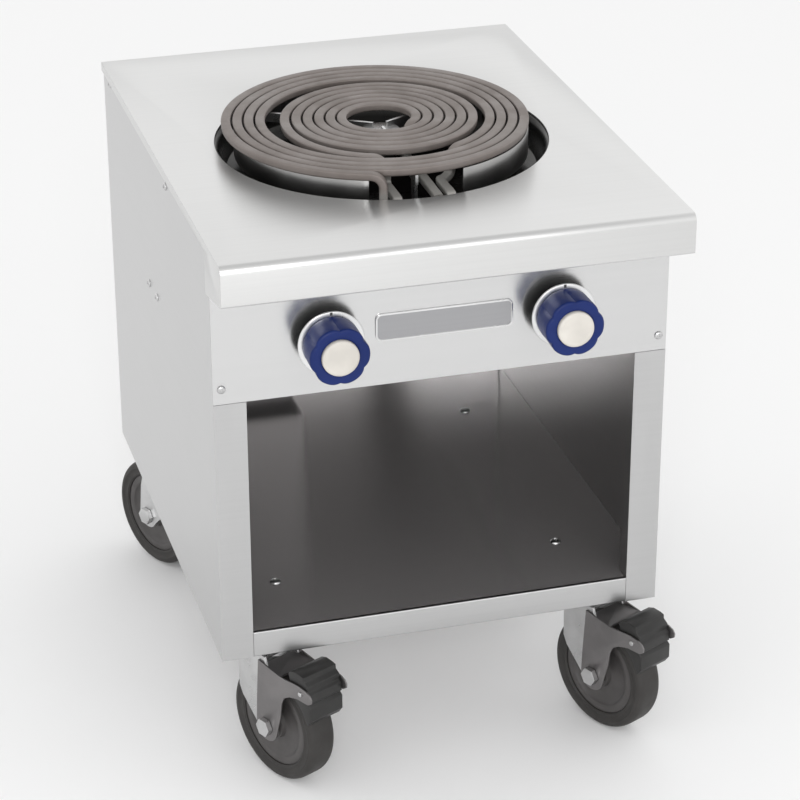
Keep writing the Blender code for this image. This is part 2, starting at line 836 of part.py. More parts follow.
def make_caster(corner, label):
    """One swivel caster: plate and raceway, fork, tyre, hub and axle bolt; the front pair also brakes."""
    end, side = corner
    name = f"caster_{label}"
    top = CASTER_HEIGHT - GAP
    plate = mounting_plate(name, corner, top)
    race = disc(
        name + "_race",
        (side * SWIVEL_X, SWIVEL_Y[end]),
        "Z",
        0.0290,
        RACE_BOTTOM_Z + GAP,
        top - PLATE_THICKNESS + 0.001,
        "zinc_plate",
        24,
    )
    join(plate, race)
    make_fork(name, corner, has_brake=end == "front")
    make_wheel(name, corner)
    make_axle(name, corner, has_brake=end == "front")
    if end == "front":
        make_pedal(name, corner)


def mounting_plate(name, corner, top):
    """Mounting plate, square to the cabinet."""
    end, side = corner
    return block(
        name + "_plate",
        (side * SWIVEL_X - 0.043, SWIVEL_Y[end] - 0.035, top - PLATE_THICKNESS),
        (side * SWIVEL_X + 0.043, SWIVEL_Y[end] + 0.035, top),
        "zinc_plate",
    )


def make_fork(name, corner, has_brake):
    """Pressed fork: crown disc, cross plate and two legs, with the brake's cheeks outside them in front."""
    crown_top = RACE_BOTTOM_Z
    crown_bottom = crown_top - 0.0035
    outer = LEG_INNER + LEG_THICKNESS
    fork = prism(
        name + "_fork",
        [
            (-outer, -0.0300),
            (outer, -0.0300),
            (outer, 0.0120),
            (0.012, 0.0260),
            (-0.012, 0.0260),
            (-outer, 0.0120),
        ],
        "Z",
        crown_bottom,
        crown_top,
        "zinc_plate",
    )
    swing(fork, corner)
    for sign, cheek in ((-1, "left"), (1, "right")):
        low_x, high_x = sorted((sign * LEG_INNER, sign * outer))
        leg = prism(f"{name}_{cheek}_leg", leg_outline(), "X", low_x, high_x, "zinc_plate")
        join(fork, swing(leg, corner))
        if has_brake:
            low_x, high_x = sorted((sign * (outer - 0.0004), sign * (outer + CHEEK_THICKNESS)))
            arm = prism(f"{name}_{cheek}_cheek", brake_outline(), "X", low_x, high_x, "zinc_plate")
            join(fork, swing(arm, corner))
    if has_brake:
        bridge = prism(
            name + "_bridge",
            [
                (-outer - 0.0010, -0.0560),
                (outer + 0.0010, -0.0560),
                (outer + 0.0010, -0.0260),
                (-outer - 0.0010, -0.0260),
            ],
            "Z",
            0.1290,
            0.1312,
            "zinc_plate",
        )
        join(fork, swing(bridge, corner))
        pin_hole = disc(
            name + "_pin_hole", PEDAL_PIVOT, "X", PIN_RADIUS + GAP, -0.04, 0.04, "zinc_plate", 14
        )
        cut(fork, swing(pin_hole, corner))
    bolt_hole = disc(
        name + "_bolt_hole",
        (-TRAIL, WHEEL_RADIUS),
        "X",
        AXLE_RADIUS + GAP,
        -0.04,
        0.04,
        "zinc_plate",
        16,
    )
    cut(fork, swing(bolt_hole, corner))


def make_wheel(name, corner):
    """Rubber tyre on a dished hub that turns on the axle bolt."""
    half = WHEEL_WIDTH / 2
    centre = (0, -TRAIL, WHEEL_RADIUS)
    tyre_profile = [
        (0.0460, -half + 0.002),
        (0.0540, -half),
        (0.0590, -half + 0.0025),
        (WHEEL_RADIUS, -half + 0.0075),
        (WHEEL_RADIUS, half - 0.0075),
        (0.0590, half - 0.0025),
        (0.0540, half),
        (0.0460, half - 0.002),
    ]
    swing(turned(name + "_tyre", tyre_profile, "tyre_rubber", centre, "X", 28), corner)
    rim = 0.0460 - GAP
    bore = AXLE_RADIUS + GAP
    hub_profile = [
        (bore, -half - 0.0005),
        (0.0150, -half - 0.0005),
        (0.0170, -half + 0.006),
        (0.0370, -half + 0.006),
        (0.0400, -half + 0.003),
        (rim, -half + 0.003),
        (rim, half - 0.003),
        (0.0400, half - 0.003),
        (0.0370, half - 0.006),
        (0.0170, half - 0.006),
        (0.0150, half + 0.0005),
        (bore, half + 0.0005),
    ]
    swing(turned(name + "_hub", hub_profile, "hub_plastic", centre, "X", 24), corner)


def make_axle(name, corner, has_brake):
    """Axle bolt: hexagon head on one side of the fork and its nut on the other."""
    outer = LEG_INNER + LEG_THICKNESS + (CHEEK_THICKNESS if has_brake else 0.0) + GAP
    centre = (-TRAIL, WHEEL_RADIUS)
    bolt = disc(
        name + "_axle", centre, "X", AXLE_RADIUS, -outer - 0.003, outer + 0.003, "zinc_plate", 16
    )
    for sign, end in ((-1, "head"), (1, "nut")):
        low_x, high_x = sorted((sign * outer, sign * (outer + 0.0055)))
        hexagon = disc(f"{name}_{end}", centre, "X", 0.0100, low_x, high_x, "zinc_plate", 6)
        join(bolt, swing(hexagon, corner))
    swing(bolt, corner)


def make_pedal(name, corner):
    """Brake pedal between the fork's cheeks: a stepped tread forward of its pivot."""
    outline = [
        (-0.0660, 0.1390),
        (-0.0760, 0.1450),
        (-0.0900, 0.1440),
        (-0.0970, 0.1360),
        (-0.1000, 0.1200),
        (-0.1000, 0.0960),
        (-0.0945, 0.0895),
        (-0.0860, 0.1040),
        (-0.0700, 0.1270),
    ]
    half = LEG_INNER + LEG_THICKNESS - 0.0004 - GAP
    pedal = prism(name + "_brake_pedal", outline, "X", -half, half, "black_plastic")
    swing(pedal, corner)
    hole = disc(
        name + "_pedal_hole", PEDAL_PIVOT, "X", PIN_RADIUS + GAP, -0.04, 0.04, "zinc_plate", 14
    )
    cut(pedal, swing(hole, corner))
    reach = LEG_INNER + LEG_THICKNESS + CHEEK_THICKNESS + 0.0015
    pin = disc(name + "_pedal_pin", PEDAL_PIVOT, "X", PIN_RADIUS, -reach, reach, "zinc_plate", 14)
    swing(pin, corner)


def main():
    for obj in list(bpy.data.objects):
        bpy.data.objects.remove(obj)
    make_cooktop()
    make_side_panel(-1, "left_side_panel")
    make_side_panel(1, "right_side_panel")
    make_back_panel()
    make_supply_inlet()
    make_wiring_duct()
    make_cabinet_floor()
    make_base_channel(-1, "left_base_channel")
    make_base_channel(1, "right_base_channel")
    make_control_panel()
    make_partition()
    make_burner_bowl()
    make_element_support()
    make_terminals()
    make_inner_element()
    make_outer_element()
    for side, label in ((-1, "left"), (1, "right")):
        make_control(side, label)
        make_panel_screw(side, label)
    make_badge()
    for end in ("front", "rear"):
        for side, label in ((-1, "left"), (1, "right")):
            make_caster((end, side), f"{end}_{label}")


main()
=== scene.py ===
"""Visual model of a floor-standing electric stock-pot range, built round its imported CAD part.

Metres, +X to the right, +Y towards the back, +Z up, with the origin on the floor under the deck's centre.
"""

from math import cos, pi, radians, sin

import bmesh
import bpy
from mathutils import Matrix, Vector


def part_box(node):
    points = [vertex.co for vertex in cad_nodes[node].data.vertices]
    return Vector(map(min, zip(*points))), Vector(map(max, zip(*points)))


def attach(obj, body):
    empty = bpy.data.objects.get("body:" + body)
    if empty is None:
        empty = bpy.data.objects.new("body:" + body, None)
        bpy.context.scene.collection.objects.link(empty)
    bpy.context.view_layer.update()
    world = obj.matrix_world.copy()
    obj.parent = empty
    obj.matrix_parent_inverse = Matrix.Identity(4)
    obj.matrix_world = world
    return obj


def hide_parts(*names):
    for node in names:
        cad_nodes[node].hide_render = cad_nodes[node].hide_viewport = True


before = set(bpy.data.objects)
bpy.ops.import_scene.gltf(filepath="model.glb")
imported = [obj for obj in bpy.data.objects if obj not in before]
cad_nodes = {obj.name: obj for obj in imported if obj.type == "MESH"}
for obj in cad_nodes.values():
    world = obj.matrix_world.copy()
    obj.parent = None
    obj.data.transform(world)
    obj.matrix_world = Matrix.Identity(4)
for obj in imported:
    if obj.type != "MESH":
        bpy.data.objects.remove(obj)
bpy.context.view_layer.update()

# Levels and faces of the cabinet, from the CAD boxes
DECK_LOW, DECK_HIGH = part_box("cooktop")
DECK_Z = DECK_HIGH.z
PANEL_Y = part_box("control_panel")[0].y
PANEL_OUTSIDE_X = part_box("right_side_panel")[1].x
FLOOR_LOW, FLOOR_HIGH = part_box("cabinet_floor")
SHEET = 0.0012
GAP = 0.0003

# Deck
DECK_SHEET = 0.002
NOSE_HEIGHT = 0.0397
NOSE_REACH = 0.060
NOSE_RADIUS = 0.008
NOSE_SLOPE = 0.0123 / NOSE_REACH
NOSE_FOOT_RADIUS = 0.0025
LIP_HEIGHT = 0.010
LIP_SHEET = 0.0015
CAP_BEHIND_FRONT = 0.008

# Storage opening
MOUTH_HALF = 0.1943
RAIL_RETURN = 0.020
RAIL_TURN = 0.0016
PLATE_FRONT = 0.004

# Burner
BURNER_Y = -0.0125
HOLE_RADIUS = 0.1675
ELEMENT_Y = -0.0095
TUBE_WIDTH, TUBE_HEIGHT = 0.0096, 0.0080
TUBE_SHOULDER = 0.0017
TUBE_FOOT_RADIUS, TUBE_FOOT_INSET = 0.0028, 0.0030
ELEMENT_Z = DECK_Z + 0.018
TURN_PITCH = 0.0114
LEAD_Z = DECK_Z - 0.009
LEAD_Y = ELEMENT_Y - 0.1507
LEAD_END_Z = DECK_Z - 0.066
INNER_LEADS_X = (-0.0250, 0.0145)
OUTER_LEAD_X = 0.0285
BOWL_SHEET = 0.0012
HOOP_OUTER, HOOP_INNER, HOOP_HEIGHT = 0.1476, 0.1462, 0.0279
HOOP_START, HOOP_END = 287, 610

# Controls
KNOB_X = 0.115
KNOB_Z = 0.494
SKIRT_Y = PANEL_Y - 0.0165
GRIP_FRONT_Y = PANEL_Y - 0.0490
SKIRT_RADIUS, GRIP_RADIUS, CAP_RADIUS = 0.0325, 0.0292, 0.0180
SHAFT_BORE = 0.0034
LOBE_DEPTH, LOBE_RUN_IN, LOBES_OUTSIDE = 0.0024, 0.006, 0.0225

# Casters
WHEEL_RADIUS, WHEEL_WIDTH, TRAIL = 0.0625, 0.032, 0.033
LEG_INNER, LEG_THICKNESS, CHEEK_THICKNESS = 0.0190, 0.0028, 0.0018
LEG_OUTER = LEG_INNER + LEG_THICKNESS
AXLE = (-TRAIL, WHEEL_RADIUS)
TREAD_Z = 0.0572
RACE_BOTTOM_Z = 0.1415
PLATE_TOP_Z = 0.1557
PLATE_THICKNESS = 0.004
PLATE_HALF_X, PLATE_HALF_Y, PLATE_CORNER = 0.043, 0.035, 0.007
BOLT_X, BOLT_Y = 0.0345, 0.0265
PEDAL_PIVOT = (-0.0880, 0.1255)
SWIVEL_X = 0.1735
SWIVEL_Y = {"front": -0.175, "rear": 0.237}
SWIVEL_ANGLE = {"front": radians(26), "rear": radians(206)}

# Studio
CAMERA_PLACE = (-0.69752, -2.52983, 1.58919)
CAMERA_YAW, CAMERA_PITCH, CAMERA_ROLL = radians(-15.8746), radians(-26.1185), radians(-0.1632)
CAMERA_LENS, CAMERA_SENSOR = 124.868, 36.0
SKY_STRENGTH = 1.24
SKY_LEVELS = ((0.0, 0.90), (0.46, 1.0), (0.62, 0.86), (0.90, 0.62))


# Materials


class Finish:
    """A node material under construction, with the few node patterns that the finishes share."""

    def __init__(self, name, colour, roughness, metallic=0.0):
        self.material = bpy.data.materials.new(name)
        self.material.use_nodes = True
        self.tree = self.material.node_tree
        self.shader = self.tree.nodes["Principled BSDF"]
        self.shader.inputs["Base Color"].default_value = (*colour, 1)
        self.shader.inputs["Roughness"].default_value = roughness
        self.shader.inputs["Metallic"].default_value = metallic
        self.place = self.tree.nodes.new("ShaderNodeTexCoord").outputs["Object"]

    def link(self, output, target):
        self.tree.links.new(output, target)

    def noise(self, scale, detail=3.0, rough=0.55):
        """Noise in Object coordinates, stretched by a scale for each axis (in lumps per metre)."""
        mapping = self.tree.nodes.new("ShaderNodeMapping")
        mapping.inputs["Scale"].default_value = scale
        self.link(self.place, mapping.inputs["Vector"])
        texture = self.tree.nodes.new("ShaderNodeTexNoise")
        texture.inputs["Scale"].default_value = 1.0
        texture.inputs["Detail"].default_value = detail
        texture.inputs["Roughness"].default_value = rough
        self.link(mapping.outputs["Vector"], texture.inputs["Vector"])
        return texture.outputs["Fac"]

    def spread(self, value, low, high):
        """Value from 0.3..0.7 spread over low..high."""
        node = self.tree.nodes.new("ShaderNodeMapRange")
        for socket, number in (("From Min", 0.3), ("From Max", 0.7), ("To Min", low), ("To Max", high)):
            node.inputs[socket].default_value = number
        self.link(value, node.inputs["Value"])
        return node.outputs["Result"]

    def tint(self, value, colours):
        """A colour ramp over a value."""
        ramp = self.tree.nodes.new("ShaderNodeValToRGB")
        stops = ramp.color_ramp.elements
        while len(stops) < len(colours):
            stops.new(0.5)
        for stop, (place, colour) in zip(stops, colours):
            stop.position = place
            stop.color = (*colour, 1)
        self.link(value, ramp.inputs["Fac"])
        return ramp.outputs["Color"]

    def bump(self, value, depth, strength=1.0):
        node = self.tree.nodes.new("ShaderNodeBump")
        node.inputs["Strength"].default_value = strength
        node.inputs["Distance"].default_value = depth
        self.link(value, node.inputs["Height"])
        self.link(node.outputs["Normal"], self.shader.inputs["Normal"])

    def roughness(self, value, low, high):
        self.link(self.spread(value, low, high), self.shader.inputs["Roughness"])

    def colour(self, value, colours):
        self.link(self.tint(value, colours), self.shader.inputs["Base Color"])


GRAIN_SPREAD = 0.006
GRAIN_DARKENING = 0.98


def brushed_steel(name, colour, roughness, grain, smear, axis="X", metallic=1.0):
    """Brushed stainless: fine streaks, faint handling marks and reflections smeared across the grain."""
    finish = Finish(name, colour, roughness, metallic)
    streaks = finish.noise(grain, 2.0)
    marks = finish.noise((6, 6, 6), 3.0)
    both = finish.tree.nodes.new("ShaderNodeMath")
    both.operation = "ADD"
    finish.link(finish.spread(streaks, -0.12, 0.12), both.inputs[0])
    finish.link(marks, both.inputs[1])
    finish.roughness(both.outputs["Value"], roughness - GRAIN_SPREAD, roughness + GRAIN_SPREAD)
    darker = tuple(channel * GRAIN_DARKENING for channel in colour)
    finish.colour(streaks, [(0.35, darker), (0.62, colour)])
    finish.bump(streaks, 0.000004, 0.03)
    finish.shader.inputs["Anisotropic"].default_value = smear
    across = finish.tree.nodes.new("ShaderNodeTangent")
    across.direction_type = "RADIAL"
    across.axis = axis
    finish.link(across.outputs["Tangent"], finish.shader.inputs["Tangent"])
    return finish.material


def moulded(name, colour, roughness, grain=900, depth=0.00002, coat=0.0):
    """Moulded plastic or rubber with a fine grain and slightly uneven gloss."""
    finish = Finish(name, colour, roughness)
    finish.roughness(finish.noise((60, 60, 60)), roughness - 0.06, roughness + 0.08)
    finish.bump(finish.noise((grain, grain, grain), 2.0), depth, 0.5)
    lighter = tuple(min(channel * 1.25 + 0.004, 1) for channel in colour)
    finish.colour(finish.noise((25, 25, 25)), [(0.35, colour), (0.70, lighter)])
    finish.shader.inputs["Coat Weight"].default_value = coat
    return finish.material


def plated(name, colour, low, high, mottle):
    """Plated or coated metal with a mottled colour and gloss."""
    finish = Finish(name, colour, (low + high) / 2, 1.0)
    patches = finish.noise((mottle, mottle, mottle), 4.0)
    darker = tuple(channel * 0.82 for channel in colour)
    finish.colour(patches, [(0.32, darker), (0.66, colour)])
    finish.roughness(patches, low, high)
    finish.bump(finish.noise((500, 500, 500), 2.0), 0.00002, 0.3)
    return finish.material


def heater_sheath():
    """Oxidised heater tube, taupe with faint heat bands, and cleaner bare metal where it dives cold."""
    finish = Finish("oxidised_sheath", (0.22, 0.20, 0.18), 0.5, 0.35)
    bands = finish.noise((16, 16, 10), 4.0, 0.6)
    hot = finish.tint(
        bands,
        [(0.30, (0.150, 0.128, 0.116)), (0.50, (0.195, 0.170, 0.157)), (0.72, (0.228, 0.206, 0.194))],
    )
    height = finish.tree.nodes.new("ShaderNodeSeparateXYZ")
    finish.link(finish.place, height.inputs["Vector"])
    cold = finish.tree.nodes.new("ShaderNodeMapRange")
    limits = (("From Min", DECK_Z + 0.006), ("From Max", DECK_Z - 0.004), ("To Min", 0.0), ("To Max", 1.0))
    for socket, number in limits:
        cold.inputs[socket].default_value = number
    finish.link(height.outputs["Z"], cold.inputs["Value"])
    blend = finish.tree.nodes.new("ShaderNodeMix")
    blend.data_type = "RGBA"
    finish.link(cold.outputs["Result"], blend.inputs[0])
    finish.link(hot, blend.inputs[6])
    blend.inputs[7].default_value = (0.36, 0.35, 0.33, 1)
    finish.link(blend.outputs[2], finish.shader.inputs["Base Color"])
    finish.roughness(finish.noise((45, 45, 45)), 0.42, 0.62)
    finish.bump(finish.noise((700, 700, 700), 3.0), 0.00006, 0.5)
    return finish.material


STEEL_DECK = brushed_steel("brushed_deck", (0.67, 0.67, 0.665), 0.32, (2, 420, 420), 0.55)
# Side-panel stainless: base colour darker than the deck's and fascia's, painted shade for the sides turned
# away from the light; the bottom rail shares it.
STEEL_SIDE_PAINTED_SHADE = brushed_steel("brushed_panel_painted_shade", (0.52, 0.52, 0.52), 0.28, (2, 2, 420), 0.50, "Y")
STEEL_FASCIA = brushed_steel("brushed_fascia", (0.62, 0.62, 0.62), 0.24, (2, 2, 420), 0.70)
STEEL_FLOOR = brushed_steel("mill_floor", (0.55, 0.53, 0.53), 0.20, (2, 420, 420), 0.65, "X", 0.78)
STEEL_BACK = brushed_steel("mill_back", (0.70, 0.69, 0.69), 0.14, (420, 2, 2), 0.30)
STEEL_DUCT = brushed_steel("brushed_duct", (0.66, 0.65, 0.65), 0.40, (2, 2, 420), 0.50)
PLATE_FIELD = brushed_steel("nameplate_field", (0.36, 0.36, 0.37), 0.34, (2, 2, 700), 0.40)
CHANNEL = plated("galvanised_channel", (0.30, 0.30, 0.30), 0.40, 0.60, 60)
# Partition under the deck: galvanised colour darkened far below the channels', painted shade for the dark
# cabinet interior.
PARTITION_PAINTED_SHADE = plated("galvanised_partition_painted_shade", (0.11, 0.105, 0.10), 0.45, 0.60, 40)
BOWL = plated("bowl_enamel", (0.045, 0.044, 0.042), 0.20, 0.32, 14)
HOOP = plated("polished_hoop", (0.46, 0.455, 0.45), 0.28, 0.38, 14)
ZINC = plated("bright_zinc", (0.62, 0.62, 0.62), 0.24, 0.38, 40)
CHEEK = plated("dull_zinc", (0.24, 0.23, 0.23), 0.40, 0.52, 40)
SILVER = plated("satin_silver", (0.80, 0.80, 0.80), 0.26, 0.30, 8)
SHEATH = heater_sheath()
CERAMIC = moulded("white_ceramic", (0.72, 0.70, 0.64), 0.35, 500, 0.00002, 0.3)
BLUE = moulded("blue_knob", (0.003, 0.014, 0.100), 0.36, 1200, 0.00001)
BLUE.node_tree.nodes["Principled BSDF"].inputs["Specular IOR Level"].default_value = 0.25
CREAM = moulded("cream_cap", (0.53, 0.505, 0.465), 0.40, 900, 0.00001)
BLACK = moulded("black_moulding", (0.010, 0.0095, 0.009), 0.46)
RUBBER = moulded("wheel_rubber", (0.021, 0.019, 0.0175), 0.62, 600, 0.00005)
HUB = moulded("grey_hub", (0.052, 0.048, 0.047), 0.45)
MARK = moulded("dial_mark", (0.05, 0.05, 0.05), 0.5)


# Mesh helpers


def settle(name, bm, material, sharp=32):
    """A finished mesh object: merged, faces outwards, smooth but for its sharp edges."""
    bmesh.ops.remove_doubles(bm, verts=bm.verts, dist=1e-6)
    bmesh.ops.recalc_face_normals(bm, faces=bm.faces)
    mesh = bpy.data.meshes.new(name)
    bm.to_mesh(mesh)
    bm.free()
    mesh.materials.append(material)
    mesh.shade_smooth()
    mesh.set_sharp_from_angle(angle=radians(sharp))
    obj = bpy.data.objects.new(name, mesh)
    bpy.context.scene.collection.objects.link(obj)
    return obj


def bake_modifiers(obj, sharp=32):
    """Replaces the object's mesh by what its modifiers make of it."""
    graph = bpy.context.evaluated_depsgraph_get()
    made = bpy.data.meshes.new_from_object(obj.evaluated_get(graph))
    obj.modifiers.clear()
    obj.data = made
    made.shade_smooth()
    made.set_sharp_from_angle(angle=radians(sharp))
    return obj


def bevel(obj, width, segments=2, angle=35):
    """Rounds the sharp edges."""
    modifier = obj.modifiers.new("edge_round", "BEVEL")
    modifier.width = width
    modifier.segments = segments
    modifier.limit_method = "ANGLE"
    modifier.angle_limit = radians(angle)
    modifier.use_clamp_overlap = True
    return bake_modifiers(obj)


def boolean(obj, other, operation="DIFFERENCE"):
    """Cuts another mesh out of the object, or joins it on, and deletes the other one."""
    modifier = obj.modifiers.new(operation.lower(), "BOOLEAN")
    modifier.operation = operation
    modifier.object = other
    modifier.solver = "EXACT"
    bake_modifiers(obj)
    bpy.data.objects.remove(other)
    return obj


def give(obj, body, slot, *replaced):
    """Makes the piece ride on its body and hides the CAD nodes it stands for; the slot is not used."""
    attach(obj, body)
    if replaced:
        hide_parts(*replaced)
    return obj


def placed(axis, along, u, v):
    """A point from its distance along an axis and its two coordinates across it."""
    return Vector({"X": (along, u, v), "Y": (u, along, v), "Z": (u, v, along)}[axis])


def arc(centre, radius, start, end, steps):
    """Points on a circular arc, with angles in degrees."""
    turns = [radians(start + (end - start) * step / steps) for step in range(steps + 1)]
    return [(centre[0] + radius * cos(turn), centre[1] + radius * sin(turn)) for turn in turns]


def circle(centre, radius, sides):
    """Points on a full circle."""
    return arc(centre, radius, 0, 360, sides)[:-1]


def rounded_rectangle(centre, half_u, half_v, corner, steps):
    """Outline of a rectangle with rounded corners; half_u and half_v reach to its sides."""
    points = []
    for sign_u, sign_v, start in ((1, 1, 0), (-1, 1, 90), (-1, -1, 180), (1, -1, 270)):
        middle = (centre[0] + sign_u * (half_u - corner), centre[1] + sign_v * (half_v - corner))
        points += arc(middle, corner, start, start + 90, steps)
    return points


def prism(name, outline, axis, start, end, material):
    """A straight prism over an outline given across its axis."""
    bm = bmesh.new()
    face = bm.faces.new([bm.verts.new(placed(axis, start, u, v)) for u, v in outline])
    grown = bmesh.ops.extrude_face_region(bm, geom=[face])
    moved = [item for item in grown["geom"] if isinstance(item, bmesh.types.BMVert)]
    bmesh.ops.translate(bm, verts=moved, vec=placed(axis, end - start, 0, 0))
    return settle(name, bm, material)


def lathe(name, profile, material, centre=(0, 0, 0), axis="Z", sides=96, wave=None, sharp=32):
    """A closed profile of (radius, distance along the axis) spun about the axis; wave pulls it in."""
    bm = bmesh.new()
    rings = []
    for side in range(sides):
        angle = 2 * pi * side / sides
        ring = []
        for radius, along in profile:
            reach = radius - (wave(angle, along, radius) if wave else 0.0)
            point = placed(axis, along, reach * cos(angle), reach * sin(angle))
            ring.append(bm.verts.new(point + Vector(centre)))
        rings.append(ring)
    for ring, following in zip(rings, rings[1:] + rings[:1]):
        for index in range(len(profile)):
            after = (index + 1) % len(profile)
            bm.faces.new([ring[index], ring[after], following[after], following[index]])
    return settle(name, bm, material, sharp)


def sphere_cap(radius, height, low, steps=6):
    """Lathe profile of a domed head of that radius and height standing on `low`."""
    points = [(0.0, low), (radius, low)]
    for step in range(1, steps + 1):
        share = step / steps
        points.append((radius * cos(share * pi / 2), low - height * sin(share * pi / 2)))
    points[-1] = (0.0, low - height)
    return points


# Geometry Nodes


def repeat_tree():
    """Node group: one copy of a part on each point, turned by the point's `turn`, then made real."""
    tree = bpy.data.node_groups.new("part_on_points", "GeometryNodeTree")
    for name, kind in (
        ("Points", "NodeSocketGeometry"),
        ("Part", "NodeSocketObject"),
        ("Part Size", "NodeSocketFloat"),
        ("Finish", "NodeSocketMaterial"),
    ):
        tree.interface.new_socket(name, in_out="INPUT", socket_type=kind)
    tree.interface.new_socket("Parts", in_out="OUTPUT", socket_type="NodeSocketGeometry")
    given = tree.nodes.new("NodeGroupInput")
    part = tree.nodes.new("GeometryNodeObjectInfo")
    turn = tree.nodes.new("GeometryNodeInputNamedAttribute")
    turn.data_type = "FLOAT_VECTOR"
    turn.inputs["Name"].default_value = "turn"
    copies = tree.nodes.new("GeometryNodeInstanceOnPoints")
    real = tree.nodes.new("GeometryNodeRealizeInstances")
    finish = tree.nodes.new("GeometryNodeSetMaterial")
    result = tree.nodes.new("NodeGroupOutput")
    for output, target in (
        (given.outputs["Points"], copies.inputs["Points"]),
        (given.outputs["Part"], part.inputs["Object"]),
        (part.outputs["Geometry"], copies.inputs["Instance"]),
        (turn.outputs["Attribute"], copies.inputs["Rotation"]),
        (given.outputs["Part Size"], copies.inputs["Scale"]),
        (copies.outputs["Instances"], real.inputs["Geometry"]),
        (real.outputs["Geometry"], finish.inputs["Geometry"]),
        (given.outputs["Finish"], finish.inputs["Material"]),
        (finish.outputs["Geometry"], result.inputs["Parts"]),
    ):
        tree.links.new(output, target)
    return tree


REPEAT = repeat_tree()


def repeated(name, part, spots, material, size=1.0):
    """One mesh with a copy of `part` at each (point, Euler turn), made by the repeat tree."""
    mesh = bpy.data.meshes.new(name)
    mesh.from_pydata([tuple(point) for point, _ in spots], [], [])
    turns = mesh.attributes.new("turn", "FLOAT_VECTOR", "POINT")
    turns.data.foreach_set("vector", [value for _, turn in spots for value in turn])
    obj = bpy.data.objects.new(name, mesh)
    bpy.context.scene.collection.objects.link(obj)
    modifier = obj.modifiers.new("repeat", "NODES")
    modifier.node_group = REPEAT
    values = {"Part": part, "Part Size": size, "Finish": material}
    for item in REPEAT.interface.items_tree:
        if item.in_out == "INPUT" and item.name in values:
            modifier[item.identifier] = values[item.name]
    bake_modifiers(obj)
    obj.data.materials.clear()
    obj.data.materials.append(material)
    return obj


def crossed_screw(name, radius, height):
    """Domed screw head with a cross recess, modelled at the origin with its top towards -Z."""
    head = lathe(name, sphere_cap(radius, height, 0.0), ZINC, sides=20)
    for length, width in ((1.1, 0.26), (0.26, 1.1)):
        reach, half = radius * length / 2, radius * width / 2
        outline = [(-reach, -half), (reach, -half), (reach, half), (-reach, half)]
        boolean(head, prism("recess", outline, "Z", -2 * height, -0.62 * height, ZINC))
    head.hide_render = True
    return head


def hexagon_bolt(name, radius, height):
    """Hexagon head with a washer, modelled at the origin with its top towards -Z."""
    washer = lathe(name, [(0, 0), (radius * 1.35, 0), (radius * 1.35, -0.001), (0, -0.001)], ZINC, sides=24)
    outline = [(radius * cos(pi / 3 * side), radius * sin(pi / 3 * side)) for side in range(6)]
    hexagon = bevel(prism("hexagon", outline, "Z", -height, -0.0005, ZINC), 0.0005)
    boolean(washer, hexagon, "UNION")
    washer.hide_render = True
    return washer


# Cabinet


def dress(name, material, round_edges):
    """A CAD part kept as it is, with a finish and lightly rounded edges."""
    node = cad_nodes[name]
    node.data.materials.clear()
    node.data.materials.append(material)
    weld = node.modifiers.new("weld", "WELD")
    weld.merge_threshold = 0.00001
    flat = node.modifiers.new("whole_faces", "DECIMATE")
    flat.decimate_type = "DISSOLVE"
    flat.angle_limit = radians(1.0)
    edge = node.modifiers.new("edge_round", "BEVEL")
    edge.width = round_edges
    edge.segments = 2
    edge.limit_method = "ANGLE"
    edge.angle_limit = radians(40)


def make_deck():
    """Formed top with a smooth bull nose, a sheet-thin deck, side lips and the burner hole."""
    back_y, nose_y = DECK_HIGH.y, DECK_LOW.y
    under_z, lip_z = DECK_Z - NOSE_HEIGHT, DECK_Z - LIP_HEIGHT
    cap_y = PANEL_Y + CAP_BEHIND_FRONT
    nose = (nose_y + NOSE_RADIUS, DECK_Z - NOSE_RADIUS)
    foot = (nose_y + NOSE_FOOT_RADIUS, under_z + DECK_SHEET)
    outer = [(back_y, lip_z), (back_y, DECK_Z)]
    outer += arc(nose, NOSE_RADIUS, 90, 180, 14) + arc(foot, NOSE_FOOT_RADIUS, 180, 260, 5)
    outer += [(cap_y, under_z - NOSE_SLOPE * (cap_y - nose_y)), (cap_y, lip_z)]
    deck = prism("formed_deck", outer, "X", DECK_LOW.x, DECK_HIGH.x, STEEL_DECK)

    panel_y, lip_y, inside = PANEL_Y - GAP, back_y - LIP_SHEET, DECK_HIGH.x - LIP_SHEET
    open_z, skin_z = DECK_Z - 2 * NOSE_HEIGHT, under_z + DECK_SHEET
    hollow = [(lip_y, open_z), (lip_y, DECK_Z - DECK_SHEET)]
    hollow += arc(nose, NOSE_RADIUS - DECK_SHEET, 90, 180, 10)
    hollow += [(nose_y + DECK_SHEET, skin_z), (panel_y, skin_z - NOSE_SLOPE * NOSE_REACH), (panel_y, open_z)]
    boolean(deck, prism("hollow", hollow, "X", -inside, inside, STEEL_DECK))
    hole = circle((0, BURNER_Y), HOLE_RADIUS, 160)
    boolean(deck, prism("hole", hole, "Z", DECK_Z - 0.02, DECK_Z + 0.02, STEEL_DECK))
    bevel(deck, 0.0006, 2, 30)
    give(deck, "range_body", "stainless", "cooktop")


